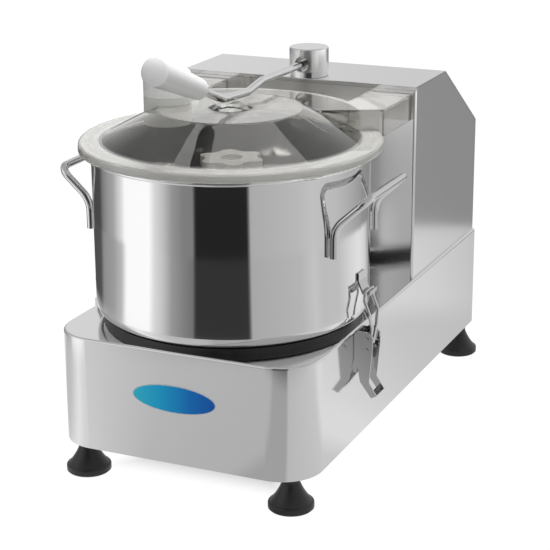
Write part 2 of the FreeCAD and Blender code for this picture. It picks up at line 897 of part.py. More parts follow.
def make_handles():
    """Bent rod handles: a leg up the wall, an arm out and up, a grip bar along Y."""
    wire = dims.handle_wire.number / 2
    half = dims.handle_span.number / 2
    leg_radius = dims.bowl_radius.number + wire + dims.weld_gap.number
    leg_x = math.sqrt(leg_radius ** 2 - half ** 2)
    foot, leg, top = (BOWL_FOOT.number + level.number
                      for level in (dims.handle_foot, dims.handle_leg, dims.handle_top))
    reach = dims.bowl_radius.number + dims.handle_reach.number
    bends = [dims.handle_bend.number, dims.handle_corner.number]
    for side in (LEFT, RIGHT):
        arm = [Vector(side * leg_x, -half, foot), Vector(side * leg_x, -half, leg),
               Vector(side * reach, -half, top)]
        points = arm + [Vector(p.x, -p.y, p.z) for p in reversed(arm)]
        rod = bent_rod(points, wire, bends + bends[::-1])
        handle = coded_shape(f"handle_{SIDE_NAMES[side]}", rod)
        place(handle, y=BOWL_Y)


def strip_outline(points, thickness):
    """The outline of a bent strip: its centre line offset to both sides with square corners."""
    sides = {1: [], -1: []}
    for index, point in enumerate(points):
        before = points[max(index - 1, 0)]
        after = points[min(index + 1, len(points) - 1)]
        arriving = (point - before).normalize() if index else (after - point).normalize()
        leaving = (after - point).normalize() if index < len(points) - 1 else arriving
        normal_in = Vector(-arriving.z, 0, arriving.x)
        normal_out = Vector(-leaving.z, 0, leaving.x)
        bisector = (normal_in + normal_out).normalize()
        reach = thickness / 2 / max(bisector.dot(normal_in), 0.3)
        for side in sides:
            sides[side].append(point + bisector * reach * side)
    return sides[1] + sides[-1][::-1]


def make_catches():
    """Bent strip on each side of the bowl whose upturned end takes the bail."""
    thickness = dims.catch_plate.number
    wall = dims.bowl_radius.number + dims.weld_gap.number + thickness / 2
    bar_x = LATCH_PIVOT_X.number - dims.bail_lean.number
    bar_z = BAIL_PIN_Z.number + dims.bail_rise.number
    seat = bar_z - dims.bail_wire.number / 2 - dims.latch_gap.number - thickness / 2
    room = dims.bail_wire.number / 2 + dims.catch_room.number + thickness / 2
    slope = dims.catch_slope.number
    for side in (LEFT, RIGHT):
        line = [
            Vector(wall, 0, BOWL_FOOT.number + dims.catch_top.number),
            Vector(wall, 0, BOWL_FOOT.number + dims.catch_bend.number),
            Vector(bar_x - room, 0, seat + slope), Vector(bar_x, 0, seat),
            Vector(bar_x + room, 0, seat + slope / 2),
            Vector(bar_x + room + slope / 1.5, 0, bar_z + dims.catch_lip.number),
        ]
        line = [Vector(side * p.x, p.y, p.z) for p in line]
        outline = strip_outline(line, thickness)
        face = Part.Face(Part.makePolygon(outline + outline[:1]))
        face.translate(Vector(0, -dims.catch_width.number / 2, 0))
        strip = face.extrude(Vector(0, dims.catch_width.number, 0))
        catch = coded_shape(f"catch_{SIDE_NAMES[side]}", strip)
        place(catch, y=BOWL_Y)


# Draw latches

def mirrored(side, outline):
    """An outline of the right side, as it is on the given side."""
    if side == RIGHT:
        return outline
    flipped = [(-as_term(corner[0]), corner[1]) for corner in outline]
    return flipped[::-1]


def make_latch_brackets():
    """Plate on the casing's side with two ears that carry the lever's rivets."""
    ear_out = dims.latch_width / 2 - dims.latch_plate - dims.latch_gap
    ear_in = ear_out - dims.latch_plate
    plate = SIDE + dims.bracket_plate
    low = LATCH_PIVOT_Z - dims.latch_ear
    high = LATCH_PIVOT_Z + dims.latch_ear
    for side in (LEFT, RIGHT):
        piece = Piece(f"latch_bracket_{SIDE_NAMES[side]}")
        outer = mirrored(side, rectangle(SIDE, plate, DECK - dims.bracket_height, high))
        piece.pad("XZ", -ear_out, ear_out, outer)
        ears = mirrored(side, rectangle(plate, LATCH_PIVOT_X, low, high))
        piece.pad("XZ", -ear_out, ear_out, ears)
        rounds = [(side * LATCH_PIVOT_X, LATCH_PIVOT_Z, dims.latch_ear)]
        piece.pad("XZ", -ear_out, ear_out, circles=rounds)
        reach = LATCH_PIVOT_X + dims.latch_ear * 2
        beyond = dims.latch_plate
        gap = mirrored(side, rectangle(plate, reach, low - beyond, high + beyond))
        piece.pocket("XZ", -ear_in, ear_in, gap)
        bore = [(side * LATCH_PIVOT_X, LATCH_PIVOT_Z, dims.latch_pin + dims.running_gap)]
        piece.pocket("XZ", -ear_out, ear_out, circles=bore)
        place(piece.body, y=BOWL_Y)


def make_latch_levers():
    """Two side plates joined by a bar at the flared tip, with the rivets and the bail's pin."""
    out = dims.latch_width / 2
    inside = out - dims.latch_plate
    ear_out = inside - dims.latch_gap
    tail = dims.latch_lever_tail
    flare = dims.latch_flare
    top = LATCH_PIVOT_Z + dims.latch_lever_top
    foot = LATCH_PIVOT_Z - dims.latch_lever_length
    knee = foot + flare * 2
    near = LATCH_BASE + dims.latch_clearance
    far = LATCH_BASE + dims.latch_lever_depth
    low_near = LATCH_BASE + tail
    low_far = low_near + tail * 2
    waist = LATCH_PIVOT_Z - dims.latch_waist
    for side in (LEFT, RIGHT):
        piece = Piece(f"latch_lever_{SIDE_NAMES[side]}")
        outline = [
            (near, top - tail), (near, waist), (low_near, knee), (low_near + flare * 1.5, foot),
            (low_far + flare, foot + dims.latch_clearance * 3),
            (low_far - dims.latch_clearance / 2, knee), (far, waist + flare * 2),
            (far, top - tail), (far - tail, top), (low_near, top),
        ]
        piece.pad("XZ", -out, out, mirrored(side, outline))
        web = foot + dims.latch_web
        channel = rectangle(LATCH_BASE - dims.latch_plate, far + flare * 2, web, top + dims.latch_plate)
        piece.pocket("XZ", -inside, inside, mirrored(side, channel))
        bail_pin = [(side * LATCH_PIVOT_X, BAIL_PIN_Z, dims.latch_pin)]
        piece.pad("XZ", -inside, inside, circles=bail_pin)
        rivet = [(side * LATCH_PIVOT_X, LATCH_PIVOT_Z, dims.latch_pin)]
        inner_end = ear_out - dims.latch_plate
        piece.pad("XZ", inner_end, inside, circles=rivet)
        piece.pad("XZ", -inside, -inner_end, circles=rivet)
        heads = [
            (side * LATCH_PIVOT_X, LATCH_PIVOT_Z, dims.rivet_head),
            (side * LATCH_PIVOT_X, BAIL_PIN_Z, dims.rivet_head),
        ]
        piece.pad("XZ", out, out + dims.rivet_head_height, circles=heads)
        piece.pad("XZ", -out - dims.rivet_head_height, -out, circles=heads)
        place(piece.body, y=BOWL_Y)


def make_bails():
    """Bowed wire loop: two legs from the lever's pin, joined by the bar in the catch."""
    wire = dims.bail_wire.number / 2
    half = dims.bail_half_width.number
    pin_x = LATCH_PIVOT_X.number
    pin_z = BAIL_PIN_Z.number
    rise = dims.bail_rise.number
    bow = dims.bail_bow.number
    gap = dims.latch_gap.number
    bar = (pin_x - dims.bail_lean.number, pin_z + rise)
    eye = dims.latch_pin.number + dims.bail_eye.number
    bore = dims.latch_pin.number + dims.running_gap.number
    half_top = dims.catch_width.number / 2 + wire + gap * 2
    for side in (LEFT, RIGHT):
        leg = [
            Vector(side * (pin_x + bow / 5), -half, pin_z + eye - gap * 2),
            Vector(side * (pin_x + bow), -half, pin_z + rise * 0.38),
            Vector(side * (pin_x + bow * 0.8), -half_top, pin_z + rise * 0.62),
            Vector(side * (bar[0] - gap * 2), -half_top, pin_z + rise * 0.86),
            Vector(side * bar[0], -half_top, bar[1]),
        ]
        points = leg + [Vector(p.x, -p.y, p.z) for p in reversed(leg)]
        bends = [dims.bail_bend.number] * 3 + [dims.bail_corner.number]
        loop = bent_rod(points, wire, bends + bends[::-1])
        for sign in (-1, 1):
            low = Vector(side * pin_x, sign * half - wire, pin_z)
            ring = Part.makeCylinder(eye, 2 * wire, low, Vector(0, 1, 0))
            loop = loop.fuse(ring)
        start = Vector(side * pin_x, -2 * half, pin_z)
        hole = Part.makeCylinder(bore, 4 * half, start, Vector(0, 1, 0))
        bail = coded_shape(f"bail_{SIDE_NAMES[side]}", loop.cut(hole))
        place(bail, y=BOWL_Y)


# Lid

def shelf_outline(inset):
    """The raised rear of the lid in plan: a round shelf between two square blocks."""
    back = TOWER_FRONT - BOWL_Y - dims.block_gap - inset
    inner = dims.block_inner + inset
    radius = dims.bowl_radius - dims.shelf_inset - inset
    notch = root(radius * radius - inner * inner)
    outer = dims.block_outer - inset
    nose = dims.block_front + inset
    return [
        (-dims.block_nose_side, dims.block_nose + inset),
        (dims.block_nose_side, dims.block_nose + inset), (outer, nose), (outer, back), (inner, back), (inner, notch, radius), (0, radius, radius),
        (-inner, notch), (-inner, back), (-outer, back), (-outer, nose),
    ]


def make_lid():
    """Clear moulded lid: ring, cone and disc, rear shelf with two blocks, and the boss."""
    piece = Piece("lid")
    top = dims.lid_rise
    thickness = dims.lid_sheet
    seat = dims.gasket_height
    ring_top = seat + thickness
    cone = dims.bowl_radius - dims.lid_cone_inset
    cone_in = cone - thickness
    disc = dims.lid_disc_radius
    slope_fall = thickness * 0.6
    lip_in = LID_RADIUS - dims.lid_lip
    lip_foot = ring_top - dims.lid_lip_drop
    bend = dims.lid_lip * 0.875
    piece.revolve([(0, seat), (cone, seat), (cone, ring_top), (disc, top), (0, top)])
    shelf_top = top - dims.shelf_drop
    shelf_foot = shelf_top - dims.block_height
    piece.pad("XY", shelf_foot, shelf_top, shelf_outline(as_term(0)))
    piece.groove([(0, 0), (lip_in, 0), (lip_in, seat), (cone_in, seat),
                  (cone_in, ring_top - slope_fall), (disc - thickness / 3, top - thickness),
                  (0, top - thickness)])
    piece.pocket("XY", shelf_foot, shelf_top - thickness, shelf_outline(thickness))
    piece.revolve([
        (cone_in, seat), (GASKET_IN, seat), (GASKET_OUT, seat), (lip_in, seat), (lip_in, lip_foot),
        (LID_RADIUS, lip_foot), (LID_RADIUS, ring_top - bend, bend), (LID_RADIUS - bend, ring_top),
        (cone_in, ring_top),
    ])
    opening = [(-dims.chute_offset, 0, dims.chute_radius + dims.chute_joint)]
    piece.pocket("XY", ring_top, top + thickness, circles=opening)
    add_boss(piece, top)
    place(piece.body, y=BOWL_Y, z=BOWL_RIM)


def make_feed_chute():
    """Clear tube bonded into the lid's opening, standing a little above the lid."""
    inner = dims.chute_radius - dims.chute_wall
    outline = rectangle(inner, dims.chute_radius, -dims.chute_below, dims.chute_above)
    turned("feed_chute", outline, x=-dims.chute_offset, y=BOWL_Y, z=LID_TOP)


def add_boss(piece, top):
    """Faceted pad in the middle of the lid that the lever's rod passes over."""
    levels = ((top, dims.boss_radius), (top + dims.boss_height, dims.boss_top_radius))
    rings = []
    for level, radius in levels:
        sketch = piece.sketch("XY", level)
        angles = [22.5 + 45 * turn for turn in range(8)]
        piece.draw_outline(sketch, [(radius * cosine(angle), radius * sine(angle)) for angle in angles])
        rings.append(sketch)
    loft = piece.body.newObject("PartDesign::AdditiveLoft", "lid_boss")
    loft.Profile = rings[0]
    loft.Sections = [rings[1]]
    loft.Ruled = True


def make_lid_gasket():
    outline = rectangle(GASKET_IN, GASKET_OUT, 0, dims.gasket_height)
    turned("lid_gasket", outline, y=BOWL_Y, z=BOWL_RIM)


def make_feed_cap():
    """Cap of the feed chute, with a spigot that slides in the chute."""
    gap = dims.cover_gap
    outer = dims.chute_radius
    spigot = outer - dims.chute_wall - gap
    wall = dims.cap_wall
    edge = dims.cap_edge
    roof = dims.cap_height - wall
    outline = [
        (0, roof), (spigot - wall, roof), (spigot - wall, -dims.cap_spigot),
        (spigot, -dims.cap_spigot), (spigot, 0), (outer, 0), (outer, dims.cap_height - edge, edge),
        (outer - edge, dims.cap_height), (0, dims.cap_height),
    ]
    turned("feed_cap", outline, x=-dims.chute_offset, y=BOWL_Y, z=CHUTE_TOP + gap)


# Lever over the lid

def make_lever_hub():
    """Round head of the lever with a blind bore for the shaft and a recess for the nut."""
    edge = dims.hub_edge
    wide = dims.hub_radius
    high = dims.hub_height
    roof = high - dims.hub_roof
    outline = [
        (dims.lever_shaft, 0), (wide, 0), (wide, high - edge), (wide - edge, high), (0, high),
        (0, roof), (dims.lever_shaft, roof),
    ]
    piece = turned("lever_hub", outline, y=LEVER_Y, z=HUB_FOOT)
    recess = [(0, dims.rod_level, dims.nut_recess)]
    piece.pocket("XZ", -wide - edge, -dims.nut_seat, circles=recess)
    socket = [(0, dims.rod_level, dims.rod_diameter / 2)]
    piece.pocket("XZ", -wide - edge, -dims.rod_start, circles=socket)


def make_lever_shaft():
    foot = TOWER_TOP - dims.lever_shaft_drop
    length = HUB_FOOT + dims.hub_height - dims.hub_roof - foot
    turned("lever_shaft", rectangle(0, dims.lever_shaft, 0, length), y=LEVER_Y, z=foot)


def make_lever_bush():
    """Flanged bush in the cover's top: the lever's shaft turns in it."""
    bore = dims.lever_shaft + dims.running_gap
    body = dims.lever_shaft + dims.bush_wall
    rise = dims.collar_height
    outline = [
        (bore, -dims.bush_drop), (body, -dims.bush_drop), (body, 0), (dims.collar_radius, 0),
        (dims.collar_radius, rise), (bore, rise),
    ]
    turned("lever_bush", outline, y=LEVER_Y, z=TOWER_TOP)


def make_lever_rod():
    """Bent rod: almost level from the hub, a dip over the boss, then up into the grip."""
    low_bend = ROD_OVER_BOSS.number + dims.rod_low_rise.number
    points = [
        Vector(0, -dims.rod_start.number, ROD_LEVEL.number),
        Vector(0, -dims.hub_radius.number * 1.5, ROD_LEVEL.number),
        Vector(0, -dims.rod_first_bend.number, ROD_LEVEL.number + dims.rod_rise.number),
        Vector(0, -dims.rod_dip_back.number, ROD_OVER_BOSS.number - dims.rod_dip.number),
        Vector(0, -dims.rod_low_reach.number, low_bend),
        Vector(0, -dims.rod_tip_reach.number, low_bend + dims.rod_tip_rise.number),
    ]
    wide_bend = dims.rod_wide_bend.number
    bends = [wide_bend] * 3 + [dims.rod_bend.number]
    rod = bent_rod(points, dims.rod_diameter.number / 2, bends)
    place(coded_shape("lever_rod", rod), y=LEVER_Y)


def make_lever_nut():
    """Hexagon nut that locks the rod in the hub."""
    piece = Piece("lever_nut")
    across = dims.nut_width / 2 / cosine(30)
    corners = [(across * cosine(angle), across * sine(angle)) for angle in range(30, 390, 60)]
    piece.pad("XZ", -dims.nut_height, 0, corners, [(0, 0, dims.rod_diameter / 2)])
    place(piece.body, y=LEVER_Y - dims.nut_seat, z=ROD_LEVEL)


def make_lever_grip():
    """Tapered plastic grip with a ferrule and a shallow domed end, tilted with the rod."""
    rod = dims.rod_diameter / 2
    long = dims.grip_length
    wide = dims.grip_radius
    shoulder = dims.grip_shoulder
    rim = wide - dims.grip_edge
    dome = dims.grip_dome
    middle = dims.rod_diameter / 8
    crown = long + root(dome * dome - middle * middle) - root(dome * dome - rim * rim)
    outline = [
        (rod, 0), (dims.grip_neck, 0, dims.grip_ferrule_round), (shoulder, dims.grip_ferrule),
        (shoulder + dims.grip_step, dims.grip_ferrule), (wide, long - dims.grip_edge),
        (rim, long, dome), (middle, crown), (0, crown), (0, dims.grip_rod_depth),
        (rod, dims.grip_rod_depth),
    ]
    piece = Piece("lever_grip")
    piece.revolve(outline)
    run = dims.rod_tip_reach - dims.rod_low_reach
    rise = dims.rod_tip_rise
    length = root(run * run + rise * rise)
    slope = math.degrees(math.atan2(rise.number, run.number))
    piece.body.Placement = Placement(Vector(), Rotation(Vector(1, 0, 0), 90 - slope))
    back_off = dims.grip_rod_depth / length
    tip_z = ROD_OVER_BOSS + dims.rod_low_rise + rise
    place(piece.body, y=LEVER_Y - dims.rod_tip_reach + run * back_off, z=tip_z - rise * back_off)


def make_interlock():
    """Cam on the lever's shaft and the safety switch that it works."""
    cam_foot = TOWER_TOP - dims.lever_shaft_drop + dims.cam_rise
    wide = dims.cam_radius
    outline = rectangle(dims.lever_shaft, wide, 0, dims.cam_height)
    cam = turned("interlock_cam", outline, y=LEVER_Y, z=cam_foot)
    flat = rectangle(-wide - dims.cam_flat, dims.cam_flat - wide, -wide, wide)
    cam.pocket("XY", 0, dims.cam_height, flat)
    wall = TOWER_FRONT + dims.sheet
    face = LEVER_Y - wide - dims.switch_gap - dims.switch_button_reach
    switch = Piece("interlock_switch")
    half = dims.switch_width / 2
    middle = dims.cam_height / 2
    low = middle - dims.switch_height / 2
    switch.pad("XY", low, low + dims.switch_height, rectangle(-half, half, wall, face))
    switch.pad("XZ", face, face + dims.switch_button_reach, circles=[(0, middle, dims.switch_button)])
    place(switch.body, z=cam_foot)


# Spindle and cutter

def make_bearing_housing():
    """Flanged housing under the deck with a long nose that stands in the bowl's column."""
    bore = dims.spindle_radius + dims.housing_room
    wide = dims.lower_bearing_radius + dims.housing_wall
    upper_seat = NOSE_TOP - dims.seal_height - dims.upper_bearing_width
    lower_seat = HOUSING_FOOT + dims.seal_height + dims.lower_bearing_width
    flange_foot = DECK_UNDERSIDE - dims.housing_flange_height
    outline = [
        (bore, lower_seat), (dims.lower_bearing_radius, lower_seat),
        (dims.lower_bearing_radius, HOUSING_FOOT), (wide, HOUSING_FOOT), (wide, flange_foot),
        (dims.housing_flange, flange_foot), (dims.housing_flange, DECK_UNDERSIDE),
        (NOSE, DECK_UNDERSIDE), (NOSE, NOSE_TOP), (dims.upper_bearing_radius, NOSE_TOP),
        (dims.upper_bearing_radius, upper_seat), (bore, upper_seat),
    ]
    piece = turned("bearing_housing", outline, y=BOWL_Y)
    hole = piece.pocket("XY", flange_foot, DECK_UNDERSIDE,
                        circles=[(dims.housing_bolt_circle, 0, dims.bolt_radius)])
    piece.around(hole, dims.housing_bolts)


def bearing_solid(outer, width, foot):
    """A shielded ball bearing: two races with the shield set back between them."""
    inner = dims.spindle_radius + dims.running_gap
    race = dims.bearing_race
    shield = dims.shield_depth
    outline = [
        (inner, 0), (inner + race, 0), (inner + race, shield), (outer - race, shield),
        (outer - race, 0), (outer, 0), (outer, width), (outer - race, width),
        (outer - race, width - shield), (inner + race, width - shield), (inner + race, width),
        (inner, width),
    ]
    points = [Vector(as_term(r).number, 0, (foot + z).number) for r, z in outline]
    face = Part.Face(Part.makePolygon(points + points[:1]))
    return face.revolve(Vector(), Vector(0, 0, 1), 360)


def make_bearings():
    """Two ball bearings round the spindle, and the seal over the upper one."""
    top = NOSE_TOP - dims.seal_height
    upper_foot = top - dims.upper_bearing_width
    lower_foot = HOUSING_FOOT + dims.seal_height
    bearings = Part.makeCompound([
        bearing_solid(dims.upper_bearing_radius, dims.upper_bearing_width, upper_foot),
        bearing_solid(dims.lower_bearing_radius, dims.lower_bearing_width, lower_foot),
    ])
    place(coded_shape("spindle_bearings", bearings), y=BOWL_Y)
    bore = dims.spindle_radius + dims.running_gap
    seal = rectangle(bore, dims.upper_bearing_radius, 0, dims.seal_height)
    turned("shaft_seal", seal, y=BOWL_Y, z=top)


def make_spindle():
    shoulder = PULLEY_FOOT + dims.pulley_width
    end = SPINDLE_TOP + dims.thread_length
    outline = [
        (0, SHAFT_FOOT), (PULLEY_SEAT, SHAFT_FOOT), (PULLEY_SEAT, shoulder),
        (dims.spindle_radius, shoulder), (dims.spindle_radius, SPINDLE_TOP),
        (THREAD, SPINDLE_TOP), (THREAD, end), (0, end),
    ]
    turned("spindle", outline, y=BOWL_Y)


def make_blade_sleeve():
    """Deep cap over the bowl's column: it carries the blades and is driven at its top."""
    ledge = SLEEVE_FOOT + dims.sleeve_flange_height
    cap = SPINDLE_TOP - dims.sleeve_cap
    outline = [
        (SLEEVE_BORE, SLEEVE_FOOT), (SLEEVE_LEDGE, SLEEVE_FOOT), (SLEEVE_LEDGE, ledge),
        (SLEEVE_OUT, ledge), (SLEEVE_OUT - dims.sleeve_draft, SPINDLE_TOP),
        (dims.spindle_radius, SPINDLE_TOP), (dims.spindle_radius, cap), (SLEEVE_BORE, cap),
    ]
    turned("blade_sleeve", outline, y=BOWL_Y)


def make_blade(label, level, turn):
    """S-shaped blade: a ring on the sleeve with two swept-back sickle arms."""
    piece = Piece(label)
    thick = dims.blade_thickness
    piece.pad("XY", 0, thick, circles=[(0, 0, SLEEVE_LEDGE), (0, 0, SLEEVE_OUT)])
    base = SLEEVE_LEDGE - dims.blade_root_overlap
    reach = dims.bowl_radius - dims.bowl_wall - dims.blade_tip_gap
    tail = reach - dims.blade_tip_width
    front = -dims.blade_root_front
    back = dims.blade_root_back
    tip = dims.blade_tip_angle
    end = tip + dims.blade_tip_sweep
    arm = [
        (base * cosine(front), base * sine(front), reach * 0.62),
        (reach * cosine(tip), reach * sine(tip)),
        (tail * cosine(end), tail * sine(end), -reach * 0.55),
        (base * cosine(back), base * sine(back)),
        ((SLEEVE_OUT + SLEEVE_LEDGE) / 2, 0),
    ]
    blade = piece.pad("XY", 0, thick, arm)
    piece.around(blade, 2)
    piece.body.Placement = Placement(Vector(), Rotation(Vector(0, 0, 1), turn))
    place(piece.body, y=BOWL_Y, z=level)


def make_cutter_stack():
    """Two blades at right angles with a spacer between them and a clamp ring on top."""
    lower = SLEEVE_FOOT + dims.sleeve_flange_height
    spacer = lower + dims.blade_thickness
    upper = spacer + dims.spacer_height
    clamp = upper + dims.blade_thickness
    make_blade("lower_blade", lower, 0)
    make_blade("upper_blade", upper, 90)
    ring = rectangle(SLEEVE_OUT, SLEEVE_LEDGE, 0, dims.spacer_height)
    turned("blade_spacer", ring, y=BOWL_Y, z=spacer)
    edge = dims.clamp_edge
    high = dims.clamp_height
    clamp_outline = [
        (SLEEVE_OUT, 0), (SLEEVE_LEDGE, 0), (SLEEVE_LEDGE, high - edge), (SLEEVE_LEDGE - edge, high),
        (SLEEVE_OUT, high),
    ]
    turned("blade_clamp", clamp_outline, y=BOWL_Y, z=clamp)


def make_star_knob():
    """Six-lobed nut on the spindle's thread that holds the cutter down."""
    piece = Piece("star_knob")
    boss = dims.knob_boss_height
    top = boss + dims.knob_height
    waist = dims.knob_radius - dims.knob_lobe * 0.8
    piece.pad("XY", 0, boss, circles=[(0, 0, dims.knob_boss)])
    piece.pad("XY", boss, top, circles=[(0, 0, waist)])
    lobe = piece.pad("XY", boss, top, circles=[(dims.knob_radius - dims.knob_lobe, 0, dims.knob_lobe)])
    piece.around(lobe, 6)
    piece.pocket("XY", 0, top, circles=[(0, 0, THREAD)])
    piece.pocket("XY", top - dims.knob_recess_depth, top, circles=[(0, 0, dims.knob_recess)])
    place(piece.body, y=BOWL_Y, z=SPINDLE_TOP)


# Drive

def pulley_outline(radius, bore):
    """Ribbed-belt pulley with a flange at each end."""
    rim = dims.pulley_flange
    out = radius + dims.pulley_flange_rise
    return [
        (bore, 0), (out, 0), (out, rim), (radius, rim), (radius, dims.pulley_width - rim),
        (out, dims.pulley_width - rim), (out, dims.pulley_width), (bore, dims.pulley_width),
    ]


def make_pulleys():
    driven = pulley_outline(dims.driven_pulley_radius, PULLEY_SEAT)
    turned("driven_pulley", driven, y=BOWL_Y, z=PULLEY_FOOT)
    drive = pulley_outline(dims.drive_pulley_radius, dims.motor_shaft)
    turned("drive_pulley", drive, y=MOTOR_Y, z=PULLEY_FOOT)


def belt_wire(extra):
    """The belt's loop round both pulleys, extra outside their rims."""
    big = dims.driven_pulley_radius.number + extra
    small = dims.drive_pulley_radius.number + extra
    distance = MOTOR_Y.number - BOWL_Y.number
    lean = math.asin((big - small) / distance)
    near = Vector(0, BOWL_Y.number, 0)
    far = Vector(0, MOTOR_Y.number, 0)
    side = Vector(math.cos(lean), math.sin(lean), 0)
    other = Vector(-side.x, side.y, 0)
    front = Vector(0, -1, 0)
    edges = [
        Part.LineSegment(near + side * big, far + side * small),
        Part.Arc(far + side * small, far - front * small, far + other * small),
        Part.LineSegment(far + other * small, near + other * big),
        Part.Arc(near + other * big, near + front * big, near + side * big),
    ]
    return Part.Wire([edge.toShape() for edge in edges])


def make_belt():
    gap = dims.belt_gap.number
    thick = dims.belt_thickness.number
    face = Part.Face(belt_wire(gap + thick)).cut(Part.Face(belt_wire(gap)))
    rim = dims.pulley_flange.number + dims.cover_gap.number
    width = dims.pulley_width.number - 2 * rim
    loop = face.extrude(Vector(0, 0, width))
    place(coded_shape("drive_belt", loop), z=PULLEY_FOOT + dims.pulley_flange + dims.cover_gap)


def make_motor():
    """Upright motor on a plate over the deck, with its rotor, fan and fan cowl."""
    plate = Piece("motor_plate")
    half_width = dims.mount_plate_width / 2
    half_depth = dims.mount_plate_depth / 2
    plate.pad("XY", 0, dims.mount_plate, rectangle(-half_width, half_width, -half_depth, half_depth),
              [(0, 0, dims.motor_shaft + dims.motor_wall)])
    place(plate.body, y=MOTOR_Y, z=DECK)
    shaft_bore = dims.motor_shaft + dims.running_gap
    cavity = dims.motor_radius - dims.motor_wall * 3
    end = dims.motor_end
    long = dims.motor_length
    outline = [
        (shaft_bore, 0), (dims.motor_foot, 0), (dims.motor_foot, dims.motor_foot_height),
        (dims.motor_radius, dims.motor_foot_height), (dims.motor_radius, long),
        (shaft_bore, long), (shaft_bore, long - end), (cavity, long - end), (cavity, end),
        (shaft_bore, end),
    ]
    housing = turned("motor_housing", outline, y=MOTOR_Y, z=MOTOR_FOOT)
    fin = housing.pad("XY", dims.motor_foot_height, long - dims.fin_depth,
                      rectangle(dims.motor_radius - 1, dims.motor_radius + dims.fin_depth,
                                -dims.fin_width / 2, dims.fin_width / 2))
    housing.around(fin, dims.motor_fins)
    rotor = cavity - dims.rotor_gap
    core_low = MOTOR_FOOT + end + dims.rotor_gap
    core_high = MOTOR_FOOT + long - end - dims.rotor_gap
    shaft_top = MOTOR_FOOT + long + dims.fan_height + dims.shaft_end
    shaft = dims.motor_shaft
    turned("motor_rotor", [
        (0, SHAFT_FOOT), (shaft, SHAFT_FOOT), (shaft, core_low), (rotor, core_low),
        (rotor, core_high), (shaft, core_high), (shaft, shaft_top), (0, shaft_top),
    ], y=MOTOR_Y)
    plate_top = dims.fan_plate
    fan_foot = MOTOR_FOOT + long + dims.fan_gap
    fan = turned("cooling_fan", [
        (shaft, 0), (dims.fan_radius, 0), (dims.fan_radius, plate_top), (dims.fan_hub, plate_top),
        (dims.fan_hub, dims.fan_height), (shaft, dims.fan_height),
    ], y=MOTOR_Y, z=fan_foot)
    inside = plate_top / 2
    vane = fan.pad("XY", inside, dims.fan_height - inside,
                   rectangle(dims.fan_hub - inside, dims.fan_radius - plate_top, -inside, inside))
    fan.around(vane, dims.fan_blades)
    cowl_wall = dims.sheet
    turned("fan_cowl", [
        (dims.fan_hub, dims.cowl_height), (dims.fan_hub, dims.cowl_height - cowl_wall),
        (dims.motor_radius - cowl_wall, dims.cowl_height - cowl_wall),
        (dims.motor_radius - cowl_wall, 0), (dims.motor_radius, 0),
        (dims.motor_radius, dims.cowl_height),
    ], y=MOTOR_Y, z=MOTOR_FOOT + long)


# Controls and wiring

def make_controls():
    """Start and stop buttons in a panel low on the left side, with the switch block inside."""
    half = dims.button_spacing / 2
    places = {"start_button": -half, "stop_button": half}
    panel = Piece("button_panel")
    bore = dims.button_radius + dims.button_gap
    collar = bore + dims.collar_wall
    long = dims.panel_length / 2
    tall = dims.panel_height / 2
    frame = rounded_rectangle(-long, long, -tall, tall, dims.panel_corner)
    panel.pad("YZ", -dims.panel_thickness, 0, frame)
    rings = [(-half, 0, collar), (half, 0, collar)]
    panel.pad("YZ", 0, dims.collar_length, circles=rings)
    bores = [(-half, 0, bore), (half, 0, bore)]
    panel.pocket("YZ", -dims.panel_thickness, dims.collar_length, circles=bores)
    place(panel.body, x=-SIDE, y=PANEL_Y, z=PANEL_Z)
    for label, offset in places.items():
        button = Piece(label)
        button.pad("YZ", -dims.button_proud, dims.button_length - dims.button_proud,
                   circles=[(0, 0, dims.button_radius)])
        doc.recompute()
        face = 1 - dims.button_proud.number
        button.soften("Fillet", dims.button_edge, lambda edge: edge.BoundBox.XMax < face)
        place(button.body, x=-SIDE, y=PANEL_Y + offset, z=PANEL_Z)
    block = Piece("switch_block")
    back = dims.button_length - dims.button_proud + dims.button_travel + 1
    room = [(-half, 0, collar + dims.button_gap), (half, 0, collar + dims.button_gap)]
    wide = dims.panel_length / 2 - 2
    high = dims.panel_height / 2 - 2
    block.pad("YZ", dims.sheet, dims.block_depth, rectangle(-wide, wide, -high, high))
    block.pocket("YZ", dims.sheet, back, circles=room)
    place(block.body, x=-SIDE, y=PANEL_Y, z=PANEL_Z)


def make_wiring_parts():
    """Contactor box and run capacitor on the bottom plate, and the mains inlet gland."""
    box = Piece("electrics_box")
    pulley_edge = dims.drive_pulley_radius + dims.pulley_flange_rise
    low = -pulley_edge - dims.electrics_side - dims.electrics_width
    back = BACK - dims.electrics_back
    box.pad("XY", CASING_FOOT, CASING_FOOT + dims.electrics_height,
            rectangle(low, low + dims.electrics_width, back - dims.electrics_depth, back))
    capacitor = Piece("capacitor")
    radius = dims.capacitor_radius
    centre = [(SIDE - dims.capacitor_side, CASING_FOOT + radius, radius)]
    capacitor.pad("XZ", back - dims.capacitor_length, back, circles=centre)
    gland = Piece("cable_gland")
    long = dims.gland_length
    hexagon = [(dims.gland_radius * cosine(angle), dims.gland_radius * sine(angle))
               for angle in range(0, 360, 60)]
    gland.pad("XZ", 0, long * 0.45, hexagon)
    gland.pad("XZ", long * 0.45, long, circles=[(0, 0, GLAND_THREAD)])
    tail = GLAND_THREAD - dims.running_gap * 2
    gland.pad("XZ", -long / 2, 0, circles=[(0, 0, tail)])
    gland.pocket("XZ", -long / 2, long, circles=[(0, 0, dims.gland_bore)])
    place(gland.body, x=GLAND_X, y=BACK, z=GLAND_Z)


